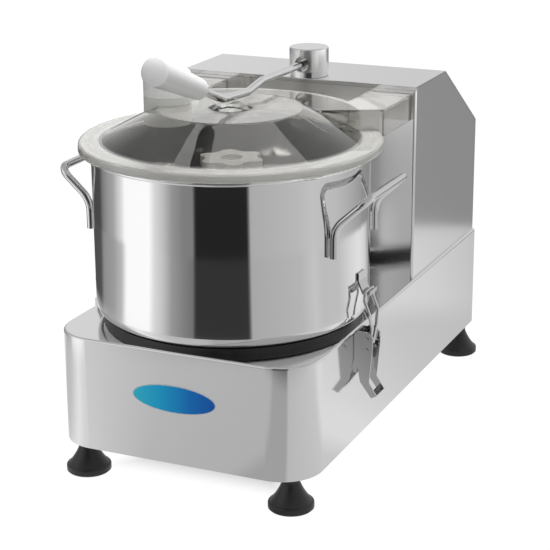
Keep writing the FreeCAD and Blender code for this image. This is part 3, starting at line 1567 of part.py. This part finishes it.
make_base_casing()
make_bottom_plate()
make_tower_casing()
make_tower_cover()
make_cover_screws()
make_feet()
make_frame_bolts()
make_bowl()
make_bowl_column()
make_bowl_seat()
make_handles()
make_catches()
make_latch_brackets()
make_latch_levers()
make_bails()
make_lid()
make_feed_chute()
make_lid_gasket()
make_feed_cap()
make_lever_hub()
make_lever_shaft()
make_lever_bush()
make_lever_rod()
make_lever_nut()
make_lever_grip()
make_interlock()
make_bearing_housing()
make_bearings()
make_spindle()
make_blade_sleeve()
make_cutter_stack()
make_star_knob()
make_pulleys()
make_belt()
make_motor()
make_controls()
make_wiring_parts()
doc.recompute()


def sub_parts():
    return [thing for thing in doc.Objects
            if thing.TypeId in ("PartDesign::Body", "Part::Feature")]


faults = [thing.Label for thing in doc.Objects
          if "Invalid" in thing.State or "Error" in thing.State]
for part in sub_parts():
    if part.Shape.isNull() or not part.Shape.isValid():
        faults.append(part.Label)
if faults:
    raise ValueError(f"these objects failed: {faults}")

for part in sub_parts():
    part.Shape.exportStep(f"parts/{part.Label}.step")
    solids = part.Shape.Solids
    print(part.Label, "solids", len(solids), "volume", round(part.Shape.Volume))
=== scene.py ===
import json
import math

import bmesh
import bpy
from mathutils import Matrix, Vector


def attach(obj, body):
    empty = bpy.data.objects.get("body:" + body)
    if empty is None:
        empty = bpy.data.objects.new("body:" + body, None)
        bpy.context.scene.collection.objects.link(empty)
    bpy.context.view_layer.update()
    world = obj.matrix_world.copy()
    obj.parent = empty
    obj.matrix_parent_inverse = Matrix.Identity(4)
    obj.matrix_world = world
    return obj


# Looks of the bowl cutter: materials, the bare plate, weld beads, floor, world, lamps and camera.
# Everything is in metres in the part's own frame: X right, Y back, Z up from the floor.

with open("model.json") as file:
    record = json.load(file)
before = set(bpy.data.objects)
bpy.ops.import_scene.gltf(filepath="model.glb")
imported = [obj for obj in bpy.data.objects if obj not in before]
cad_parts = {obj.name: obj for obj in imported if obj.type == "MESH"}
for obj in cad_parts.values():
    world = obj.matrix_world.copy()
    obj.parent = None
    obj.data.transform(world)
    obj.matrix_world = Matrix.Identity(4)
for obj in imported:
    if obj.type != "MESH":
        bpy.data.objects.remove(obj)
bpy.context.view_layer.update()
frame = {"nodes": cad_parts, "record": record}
NODES = frame["nodes"]
SCENE = bpy.context.scene

BOWL_Y = -0.122
BOWL_RADIUS = 0.141
BASE_FRONT = -0.26
BASE_HALF_WIDTH = 0.14


# Node helpers

def new_material(name):
    material = bpy.data.materials.new(name)
    material.use_nodes = True
    tree = material.node_tree
    shader = next(node for node in tree.nodes if node.type == "BSDF_PRINCIPLED")
    return material, tree, shader


def add(tree, kind, **settings):
    node = tree.nodes.new(kind)
    for key, value in settings.items():
        setattr(node, key, value)
    return node


def feed(tree, socket, value):
    """Links an output to the socket, or sets the socket's own number or colour."""
    if isinstance(value, bpy.types.NodeSocket):
        tree.links.new(value, socket)
    else:
        socket.default_value = value


def grey(level):
    return (level, level, level, 1.0)


def computed(tree, operation, *values):
    node = add(tree, "ShaderNodeMath", operation=operation)
    for socket, value in zip(node.inputs, values):
        feed(tree, socket, value)
    return node.outputs["Value"]


def rescaled(tree, value, low, high, interpolation_type="LINEAR"):
    """The value as 0 at low to 1 at high."""
    node = add(tree, "ShaderNodeMapRange", interpolation_type=interpolation_type)
    node.inputs["From Min"].default_value = low
    node.inputs["From Max"].default_value = high
    tree.links.new(value, node.inputs["Value"])
    return node.outputs["Result"]


def between(tree, value, low, high):
    return rescaled(tree, value, low, high, "SMOOTHSTEP")


def split_point(tree, kind, socket):
    source = add(tree, kind)
    split = add(tree, "ShaderNodeSeparateXYZ")
    tree.links.new(source.outputs[socket], split.inputs["Vector"])
    return split


def stretched_noise(tree, stretch, size, detail, roughness=0.5):
    """Noise in object space, stretched by giving each axis its own scale."""
    coords = add(tree, "ShaderNodeTexCoord")
    mapping = add(tree, "ShaderNodeMapping")
    mapping.inputs["Scale"].default_value = stretch
    noise = add(tree, "ShaderNodeTexNoise")
    noise.inputs["Scale"].default_value = size
    noise.inputs["Detail"].default_value = detail
    noise.inputs["Roughness"].default_value = roughness
    tree.links.new(coords.outputs["Object"], mapping.inputs["Vector"])
    tree.links.new(mapping.outputs["Vector"], noise.inputs["Vector"])
    return noise.outputs["Fac"]


def ramp(tree, source, stops):
    """A colour that runs evenly from stop to stop: a position with a grey level or a colour."""
    node = add(tree, "ShaderNodeValToRGB")
    elements = node.color_ramp.elements
    while len(elements) > 1:
        elements.remove(elements[-1])
    for index, (position, colour) in enumerate(stops):
        element = elements[0] if index == 0 else elements.new(position)
        element.position = position
        element.color = (*colour, 1.0) if isinstance(colour, tuple) else grey(colour)
    tree.links.new(source, node.inputs["Fac"])
    return node.outputs["Color"]


def bump(tree, shader, height, strength, depth):
    node = add(tree, "ShaderNodeBump")
    node.inputs["Strength"].default_value = strength
    node.inputs["Distance"].default_value = depth
    tree.links.new(height, node.inputs["Height"])
    tree.links.new(node.outputs["Normal"], shader.inputs["Normal"])


# A Mix node's sockets for its factor and its two colours, and the colour that comes out
MIX_INPUTS = (0, 6, 7)
MIX_RESULT = 2


def blended(tree, factor, first, second):
    node = add(tree, "ShaderNodeMix", data_type="RGBA")
    for place, value in zip(MIX_INPUTS, (factor, first, second)):
        feed(tree, node.inputs[place], value)
    return node.outputs[MIX_RESULT]


def mixed_shader(tree, factor, first, second):
    node = add(tree, "ShaderNodeMixShader")
    for socket, value in zip(node.inputs, (factor, first, second)):
        tree.links.new(value, socket)
    return node.outputs[0]


def from_bowl_axis(tree, split):
    """How far a point lies behind the bowl's upright axis, and its distance from that axis."""
    behind = computed(tree, "SUBTRACT", split.outputs["Y"], BOWL_Y)
    joined = add(tree, "ShaderNodeCombineXYZ")
    tree.links.new(split.outputs["X"], joined.inputs["X"])
    tree.links.new(behind, joined.inputs["Y"])
    length = add(tree, "ShaderNodeVectorMath", operation="LENGTH")
    tree.links.new(joined.outputs["Vector"], length.inputs[0])
    return behind, length.outputs["Value"]


# Materials

EVEN = (1, 1, 1)
BRUSH_DEPTH = 0.0004
CLOUD_SIZE = 9.0
MOTTLE_SIZE = 60.0
SKIN_SIZE = 900.0
SKIN_DEPTH = 0.0003
HAZE_SIZE = 11.0
CLEAR_IOR = 1.47
CLEAR_REACH = 0.25


def brushed_metal(name, tone, rough, grain, strength=0.02, spread=0.03, contrast=0.02):
    """Stainless steel with fine brushing: grain stretches the noise, with a faint cloudiness."""
    material, tree, shader = new_material(name)
    shader.inputs["Metallic"].default_value = 1.0
    lines = stretched_noise(tree, grain, 1.0, detail=4.0, roughness=0.65)
    clouds = stretched_noise(tree, EVEN, CLOUD_SIZE, detail=3.0)
    low = tuple(value * (1 - contrast) for value in tone)
    high = tuple(min(value * (1 + contrast), 1.0) for value in tone)
    tree.links.new(ramp(tree, lines, [(0.3, low), (0.7, high)]), shader.inputs["Base Color"])
    gloss = ramp(tree, computed(tree, "ADD", lines, clouds),
                 [(0.5, rough - spread / 2), (1.0, rough + spread)])
    tree.links.new(gloss, shader.inputs["Roughness"])
    if strength:
        bump(tree, shader, lines, strength, BRUSH_DEPTH)
    return material


def moulded(name, low, high, rough, grain_strength=0.04, **numbers):
    """Moulded plastic or rubber: a faint mottle, a fine skin texture and a varied gloss.

    The numbers go to the shader's sockets of the same names."""
    material, tree, shader = new_material(name)
    mottle = stretched_noise(tree, EVEN, MOTTLE_SIZE, detail=4.0)
    tree.links.new(ramp(tree, mottle, [(0.3, low), (0.7, high)]), shader.inputs["Base Color"])
    gloss = ramp(tree, mottle, [(0.3, rough * 0.9), (0.7, min(rough * 1.12, 1.0))])
    tree.links.new(gloss, shader.inputs["Roughness"])
    skin = stretched_noise(tree, EVEN, SKIN_SIZE, detail=2.0)
    bump(tree, shader, skin, grain_strength, SKIN_DEPTH)
    for socket, value in numbers.items():
        shader.inputs[socket.replace("_", " ")].default_value = value
    return material


def clear_plastic(name, tint, rough, clearness):
    """Clear moulded sheet: it refracts, and a milky haze grows as the clearness drops.

    The clearness is given at distances from the bowl's axis."""
    material, tree, shader = new_material(name)
    shader.inputs["IOR"].default_value = CLEAR_IOR
    _, radius = from_bowl_axis(tree, split_point(tree, "ShaderNodeNewGeometry", "Position"))
    passing = ramp(tree, rescaled(tree, radius, 0.0, CLEAR_REACH),
                   [(at / CLEAR_REACH, value) for at, value in clearness])
    tree.links.new(passing, shader.inputs["Transmission Weight"])
    cloud = stretched_noise(tree, EVEN, HAZE_SIZE, detail=2.0)
    dim = tuple(value * 0.985 for value in tint)
    tree.links.new(ramp(tree, cloud, [(0.35, dim), (0.65, tint)]), shader.inputs["Base Color"])
    gloss = ramp(tree, cloud, [(0.35, rough), (0.7, rough * 2)])
    tree.links.new(gloss, shader.inputs["Roughness"])
    return material


# The lid from its boss outwards: the hazy flat top, the clear cone, the milky ring, the shelf
LID_CLEARNESS = [(0.023, 1.0), (0.025, 0.88), (0.0725, 0.86), (0.0745, 1.0), (0.129, 1.0),
                 (0.134, 0.64), (0.15, 0.68), (0.1545, 0.78), (0.158, 0.9), (0.166, 0.78)]
STEEL = (0.76, 0.76, 0.765)
MATERIALS = {
    "brushed_steel": brushed_metal("brushed_steel", STEEL, 0.075, (5, 5, 700), strength=0.004,
                                   spread=0.015, contrast=0.008),
    "polished_steel": brushed_metal("polished_steel", (0.8, 0.8, 0.8), 0.045, (3, 3, 500),
                                    strength=0, spread=0.01, contrast=0.006),
    "bright_steel": brushed_metal("bright_steel", (0.78, 0.78, 0.78), 0.08, (60, 60, 300),
                                  strength=0.01),
    "black_rubber": moulded("black_rubber", (0.009, 0.009, 0.009), (0.016, 0.016, 0.016), 0.4),
    "clear_plastic": clear_plastic("clear_plastic", (0.985, 0.975, 0.94), 0.008, LID_CLEARNESS),
    "clear_rubber": moulded("clear_rubber", (0.8, 0.8, 0.78), (0.86, 0.86, 0.84), 0.4,
                            Subsurface_Weight=0.3),
    "grey_plastic": moulded("grey_plastic", (0.83, 0.83, 0.83), (0.87, 0.87, 0.87), 0.3,
                            grain_strength=0.06),
    "white_plastic": moulded("white_plastic", (0.8, 0.8, 0.78), (0.86, 0.86, 0.84), 0.25,
                             Subsurface_Weight=0.2),
    "black_plastic": moulded("black_plastic", (0.02, 0.02, 0.022), (0.035, 0.035, 0.038), 0.38),
    "green_plastic": moulded("green_plastic", (0.02, 0.3, 0.08), (0.03, 0.36, 0.1), 0.28),
    "red_plastic": moulded("red_plastic", (0.5, 0.02, 0.02), (0.58, 0.03, 0.03), 0.28),
    "cast_aluminium": brushed_metal("cast_aluminium", (0.62, 0.63, 0.64), 0.45, (80, 80, 80),
                                    strength=0.15, spread=0.08, contrast=0.06),
    "painted_grey": moulded("painted_grey", (0.2, 0.21, 0.22), (0.24, 0.25, 0.26), 0.4),
}

# Nodes whose look differs from the rest of their slot
MILKY = moulded("milky_plastic", (0.94, 0.94, 0.92), (0.97, 0.97, 0.95), 0.28, grain_strength=0.0,
                Transmission_Weight=0.08, IOR=1.45)
HAZY = moulded("hazy_plastic", (0.86, 0.86, 0.82), (0.92, 0.92, 0.88), 0.12, grain_strength=0.0,
               Transmission_Weight=0.15, IOR=1.3)
FROSTED = moulded("frosted_plastic", (0.78, 0.78, 0.76), (0.84, 0.84, 0.82), 0.2,
                  grain_strength=0.0, Transmission_Weight=0.4, IOR=1.3)
SATIN = brushed_metal("satin_steel", (0.84, 0.84, 0.84), 0.17, (40, 40, 400), contrast=0.01)
TOWER = brushed_metal("tower_steel", STEEL, 0.13, (5, 5, 700), strength=0.004, spread=0.015,
                      contrast=0.008)
# Painted shade: the latch and wire handle steels are darkened to stand in for dark reflections on
# them
DARKENED_LATCH_STEEL = brushed_metal("darkened_latch_steel", (0.56, 0.56, 0.56), 0.1, (60, 60, 300), strength=0.01)
DARKENED_WIRE_STEEL = brushed_metal("darkened_wire_steel", (0.66, 0.66, 0.66), 0.05, (60, 60, 300), strength=0.01)
SPECIAL = {"feed_cap": MILKY, "feed_chute": HAZY, "star_knob": FROSTED, "lever_hub": SATIN,
           "tower_casing": TOWER}
for side in ("left", "right"):
    for name in ("latch_lever", "latch_bracket", "catch"):
        SPECIAL[f"{name}_{side}"] = DARKENED_LATCH_STEEL
    for name in ("bail", "handle"):
        SPECIAL[f"{name}_{side}"] = DARKENED_WIRE_STEEL

for row in frame["record"]["subparts"]:
    material = SPECIAL.get(row["node"]) or MATERIALS[row["material_slot"]]
    for slot in NODES[row["node"]].material_slots:
        slot.material = material


def placed(name, data):
    thing = bpy.data.objects.new(name, data)
    SCENE.collection.objects.link(thing)
    return thing


# Bare oval plate on the front: a white rim and a blue face that stands a little further out

PLATE_X = 0.0005
PLATE_Z = 0.1052
PLATE_HALF = (0.0456, 0.0145)
PLATE_RIM = 0.0009
RIM_DEPTH = 0.0006
FACE_DEPTH = 0.0003
OVAL_STEPS = 96
BEVEL_SHARE = 0.45
BEVEL_SEGMENTS = 3
SAME_PLANE = 1e-7
# From the left end to the right end
PLATE_BLUES = [(0.0, (0.05, 0.7, 0.95)), (0.35, (0.015, 0.48, 0.88)), (0.7, (0.006, 0.21, 0.68)),
               (1.0, (0.003, 0.12, 0.52))]


def oval_disc(name, half_width, half_height, depth, y):
    """A flat oval in the XZ plane, facing -Y, with a small bevel on its front edge."""
    mesh = bpy.data.meshes.new(name)
    built = bmesh.new()
    turns = [2 * math.pi * step / OVAL_STEPS for step in range(OVAL_STEPS)]
    ring = [built.verts.new((half_width * math.cos(turn), 0, half_height * math.sin(turn)))
            for turn in turns]
    moved = bmesh.ops.extrude_face_region(built, geom=[built.faces.new(ring)])
    raised = [item for item in moved["geom"] if isinstance(item, bmesh.types.BMVert)]
    bmesh.ops.translate(built, verts=raised, vec=(0, -depth, 0))
    bmesh.ops.recalc_face_normals(built, faces=built.faces)
    front = [edge for edge in built.edges
             if all(abs(vert.co.y + depth) < SAME_PLANE for vert in edge.verts)]
    bmesh.ops.bevel(built, geom=front, offset=depth * BEVEL_SHARE, segments=BEVEL_SEGMENTS,
                    affect="EDGES")
    built.to_mesh(mesh)
    built.free()
    disc = placed(name, mesh)
    disc.location = (PLATE_X, y, PLATE_Z)
    return disc


def plate_material():
    """Glossy printed blue, from cyan on the left to a deep blue on the right."""
    material, tree, shader = new_material("blue_plate")
    split = split_point(tree, "ShaderNodeTexCoord", "Object")
    along = rescaled(tree, split.outputs["X"], -PLATE_HALF[0], PLATE_HALF[0])
    tree.links.new(ramp(tree, along, PLATE_BLUES), shader.inputs["Base Color"])
    shader.inputs["Roughness"].default_value = 0.3
    shader.inputs["Specular IOR Level"].default_value = 0.25
    return material


plate_rim = oval_disc("plate_rim", *PLATE_HALF, RIM_DEPTH, BASE_FRONT)
plate_rim.data.materials.append(MATERIALS["white_plastic"])
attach(plate_rim, "frame")
plate_face = oval_disc("plate_face", PLATE_HALF[0] - PLATE_RIM, PLATE_HALF[1] - PLATE_RIM,
                       FACE_DEPTH, BASE_FRONT - RIM_DEPTH)
plate_face.data.materials.append(plate_material())
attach(plate_face, "frame")


# Weld beads beside the feet of the handles

LEG_Y = 0.055
LEG_RADIUS = BOWL_RADIUS + 0.0042
LEG_ANGLE = math.asin(LEG_Y / LEG_RADIUS)
WELD_TURN = 0.0185
WELD_AT = BOWL_RADIUS + 0.0006
WELD_LOW = 0.2425
WELD_HIGH = 0.262
WELD_RADIUS = 0.0013
WELD_TIP = 1e-5
WELD_TAPER = 8
WELD_RIPPLE = 0.12
WELD_HALF_WAVES = 26
WELD_RINGS = 60
WELD_SIDES = 10


def weld_bead(name, x, y):
    """An upright bead with the ripples that a hand weld leaves, tapered at both ends."""
    mesh = bpy.data.meshes.new(name)
    built = bmesh.new()
    loops = []
    turns = [2 * math.pi * side / WELD_SIDES for side in range(WELD_SIDES)]
    for ring in range(WELD_RINGS + 1):
        part = ring / WELD_RINGS
        taper = min(1.0, WELD_TAPER * part, WELD_TAPER * (1 - part)) ** 0.5
        ripple = 1 + WELD_RIPPLE * math.sin(part * math.pi * WELD_HALF_WAVES)
        size = max(WELD_RADIUS * taper * ripple, WELD_TIP)
        level = WELD_LOW + (WELD_HIGH - WELD_LOW) * part
        loops.append([built.verts.new((x + size * math.cos(turn), y + size * math.sin(turn), level))
                      for turn in turns])
    for lower, upper in zip(loops, loops[1:]):
        for side in range(WELD_SIDES):
            after = (side + 1) % WELD_SIDES
            built.faces.new((lower[side], lower[after], upper[after], upper[side])).smooth = True
    built.faces.new(loops[0][::-1])
    built.faces.new(loops[-1])
    built.to_mesh(mesh)
    built.free()
    bead = placed(name, mesh)
    bead.data.materials.append(MATERIALS["bright_steel"])
    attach(bead, "frame")


for side_name, side in (("left", -1), ("right", 1)):
    for end_name, end in (("front", -1), ("back", 1)):
        for edge_name, shift in (("near", -WELD_TURN), ("far", WELD_TURN)):
            turn = LEG_ANGLE + shift
            weld_bead(f"weld_{side_name}_{end_name}_{edge_name}", side * WELD_AT * math.cos(turn),
                      BOWL_Y + end * WELD_AT * math.sin(turn))


# Floor and world

# Brightness that the steel reflects, by azimuth in degrees round the bowl: +X is 0, +Y is 90
FLOOR_NEAR = [(-180, 0.6), (-160, 0.7), (-140, 1.0), (-125, 0.8), (-119, 0.7), (-110, 0.6),
              (-98, 0.57), (-84, 0.56), (-78, 0.45), (-53, 0.45), (-50, 0.62), (-20, 0.68),
              (5, 0.72), (20, 0.88), (30, 0.88), (50, 0.76), (60, 0.68), (72, 0.63), (90, 0.9),
              (150, 1.0), (180, 0.6)]
FLOOR_MIDDLE = [(-180, 0.36), (-171, 0.4), (-160, 0.6), (-154, 1.18), (-131, 1.2), (-126, 0.85),
                (-119, 0.68), (-111, 0.38), (-102, 0.27), (-94, 0.2), (-92.5, 0.04), (-52.5, 0.04),
                (-51, 0.48), (-12, 0.57), (0, 0.68), (8, 0.62), (25, 0.63), (40, 0.8), (54, 0.9),
                (66, 0.79), (71, 0.68), (80, 0.3), (100, 0.12), (150, 0.08), (165, 0.1),
                (172, 0.32), (180, 0.36)]
FLOOR_FAR = [(-180, 0.36), (-171, 0.45), (-160, 0.9), (-156, 1.18), (-131, 1.2), (-126, 0.85),
             (-119, 0.65), (-111, 0.37), (-102, 0.26), (-94, 0.25), (-92.5, 0.02), (-52.5, 0.02),
             (-51, 0.5), (-35, 0.54), (-12, 0.6), (0, 0.66), (25, 0.6), (54, 0.42), (64, 0.34),
             (90, 0.25), (150, 0.07), (165, 0.08), (172, 0.25), (180, 0.36)]
FLOOR_BEYOND = [(-180, 0.36), (-160, 0.55), (-138, 0.75), (-97, 0.32), (-61, 0.3), (-35, 0.6),
                (-10, 0.95), (37, 1.3), (55, 0.6), (64, 0.34), (90, 0.25), (150, 0.2), (166, 0.3),
                (180, 0.36)]
# Each ring takes over from the one inside it between two distances from the bowl's axis
OUTER_RINGS = [(FLOOR_MIDDLE, 0.48, 0.62), (FLOOR_FAR, 0.92, 0.96), (FLOOR_BEYOND, 1.5, 1.65)]
FLOOR_REACH = 6.0
# The floor's tone where it is seen in the shade, where light only bounces off it, and beyond
FLOOR_TONE = 0.88
FLOOR_BOUNCE = 0.25
FLOOR_WHITE = 1.02
# In direct sight the shaded floor turns white between these distances from the edge of the
# casing's footprint, where a distance below zero is inside it
SHADOW_EDGE = (-0.11, -0.03)

SKY_LOW = [(-180, 0.6), (-150, 1.1), (-130, 1.0), (-95, 0.4), (-92, 0.05), (-52, 0.05), (-50, 0.5),
           (0, 0.6), (50, 0.85), (100, 0.68), (110, 0.71), (116, 0.78), (124, 0.84), (135, 0.6),
           (149, 0.42), (180, 0.6)]
# What is seen through the clear lid
SKY_INSIDE = [(-180, 0.12), (-120, 0.3), (-95, 0.14), (-60, 0.07), (-20, 0.2), (30, 0.12),
              (60, 0.25), (114, 0.75), (150, 0.25), (180, 0.12)]
# The walls turn into the ceiling between these upward parts of a direction
CEILING_FROM = (0.5, 0.8)
CEILING = 0.5
CEILING_INSIDE = 0.85
WORLD_LIGHT = 0.3


def sectors(stops):
    return [((azimuth + 180) / 360, value) for azimuth, value in stops]


def azimuth_of(tree, x, y):
    """The direction of x, y as 0 to 1, from -X through -Y, +X and +Y back to -X."""
    return rescaled(tree, computed(tree, "ARCTAN2", y, x), -math.pi, math.pi)


def outside_distance(tree, split):
    """How far a floor point lies outside the casing's footprint, below zero inside it."""
    past = [computed(tree, "SUBTRACT", computed(tree, "ABSOLUTE", split.outputs[axis]), half)
            for axis, half in (("X", BASE_HALF_WIDTH), ("Y", -BASE_FRONT))]
    return computed(tree, "MAXIMUM", *past)


def make_floor():
    """A pale floor that takes the shadow, and shows the studio's cards to reflections."""
    mesh = bpy.data.meshes.new("floor")
    mesh.from_pydata([(-FLOOR_REACH, -FLOOR_REACH, 0), (FLOOR_REACH, -FLOOR_REACH, 0),
                      (FLOOR_REACH, FLOOR_REACH, 0), (-FLOOR_REACH, FLOOR_REACH, 0)], [],
                     [(0, 1, 2, 3)])
    floor = placed("floor", mesh)
    material, tree, shader = new_material("floor")
    shader.inputs["Base Color"].default_value = grey(FLOOR_TONE)
    shader.inputs["Roughness"].default_value = 0.7
    shader.inputs["Specular IOR Level"].default_value = 0.0
    split = split_point(tree, "ShaderNodeTexCoord", "Object")
    behind, radius = from_bowl_axis(tree, split)
    azimuth = azimuth_of(tree, split.outputs["X"], behind)
    tone = ramp(tree, azimuth, sectors(FLOOR_NEAR))
    for stops, start, end in OUTER_RINGS:
        tone = blended(tree, between(tree, radius, start, end), tone,
                       ramp(tree, azimuth, sectors(stops)))
    cards = add(tree, "ShaderNodeEmission")
    tree.links.new(tone, cards.inputs["Color"])
    white = add(tree, "ShaderNodeEmission")
    white.inputs["Strength"].default_value = FLOOR_WHITE
    lit = mixed_shader(tree, between(tree, outside_distance(tree, split), *SHADOW_EDGE),
                       shader.outputs[0], white.outputs[0])
    path = add(tree, "ShaderNodeLightPath")
    dim = add(tree, "ShaderNodeBsdfDiffuse")
    dim.inputs["Color"].default_value = grey(FLOOR_BOUNCE)
    direct = computed(tree, "MAXIMUM", path.outputs["Is Camera Ray"],
                      path.outputs["Is Transmission Ray"])
    seen = mixed_shader(tree, direct, dim.outputs[0], lit)
    shown = mixed_shader(tree, path.outputs["Is Glossy Ray"], seen, cards.outputs[0])
    output = next(node for node in tree.nodes if node.type == "OUTPUT_MATERIAL")
    tree.links.new(shown, output.inputs["Surface"])
    material.cycles.emission_sampling = "NONE"
    floor.data.materials.append(material)


def make_world():
    """White to the camera; reflections see the studio's walls and a softer ceiling."""
    world = bpy.data.worlds.new("studio")
    SCENE.world = world
    world.use_nodes = True
    world.cycles.sampling_method = "NONE"
    tree = world.node_tree
    tree.nodes.clear()
    split = split_point(tree, "ShaderNodeTexCoord", "Generated")
    azimuth = azimuth_of(tree, split.outputs["X"], split.outputs["Y"])
    raised = between(tree, split.outputs["Z"], *CEILING_FROM)

    def background(colour, strength=1.0):
        node = add(tree, "ShaderNodeBackground")
        node.inputs["Strength"].default_value = strength
        feed(tree, node.inputs["Color"], colour)
        return node.outputs[0]

    low = ramp(tree, azimuth, sectors(SKY_LOW))
    inside = ramp(tree, azimuth, sectors(SKY_INSIDE))
    glossy = background(blended(tree, raised, low, grey(CEILING)))
    through = background(blended(tree, raised, inside, grey(CEILING_INSIDE)))
    path = add(tree, "ShaderNodeLightPath")
    shown = background(grey(1.0), WORLD_LIGHT)
    for ray, look in (("Is Glossy Ray", glossy), ("Is Transmission Ray", through),
                      ("Is Camera Ray", background(grey(1.0)))):
        shown = mixed_shader(tree, path.outputs[ray], shown, look)
    output = add(tree, "ShaderNodeOutputWorld")
    tree.links.new(shown, output.inputs["Surface"])


# Lamps and camera

LOOK_AT = Vector((0, -0.02, 0.2))
# Where the photograph was taken from, as fitted to the object's edges
CAMERA_AT = Vector((0.7129, -1.6012, 0.7262))
CAMERA_YAW = math.radians(24.22)
CAMERA_PITCH = math.radians(-18.05)
CAMERA_ROLL = math.radians(-0.39)
FOCAL_PIXELS = 1671.3
PHOTO_WIDTH = 550
SENSOR_WIDTH = 36


def area_light(name, at, size, power, through_lid=False):
    """A square lamp that no reflection shows, seen through the clear lid only where asked."""
    data = bpy.data.lights.new(name, "AREA")
    data.shape = "RECTANGLE"
    data.size = size
    data.size_y = size
    data.energy = power
    lamp = placed(name, data)
    lamp.location = at
    lamp.rotation_euler = (LOOK_AT - Vector(at)).to_track_quat("-Z", "Y").to_euler()
    lamp.visible_glossy = False
    lamp.visible_transmission = through_lid


def make_camera():
    across = Vector((math.cos(CAMERA_YAW), math.sin(CAMERA_YAW), 0))
    forward = Vector((-math.sin(CAMERA_YAW) * math.cos(CAMERA_PITCH),
                      math.cos(CAMERA_YAW) * math.cos(CAMERA_PITCH), math.sin(CAMERA_PITCH)))
    above = across.cross(forward)
    right = across * math.cos(CAMERA_ROLL) + above * math.sin(CAMERA_ROLL)
    up = above * math.cos(CAMERA_ROLL) - across * math.sin(CAMERA_ROLL)
    data = bpy.data.cameras.new("camera")
    data.sensor_width = SENSOR_WIDTH
    data.lens = SENSOR_WIDTH * FOCAL_PIXELS / PHOTO_WIDTH
    camera = placed("camera", data)
    turn = Matrix((right, up, -forward)).transposed().to_4x4()
    camera.matrix_world = Matrix.Translation(CAMERA_AT) @ turn
    SCENE.camera = camera


make_floor()
make_world()
area_light("key", (0.3, 0.6, 2.0), 0.9, 26)
area_light("fill", (1.1, -1.6, 0.3), 0.8, 10)
area_light("side", (-1.2, 0.1, 1.7), 1.2, 7)
area_light("top", (0, 0.25, 2.2), 2.0, 28, through_lid=True)
make_camera()

SCENE.view_settings.view_transform = "Standard"
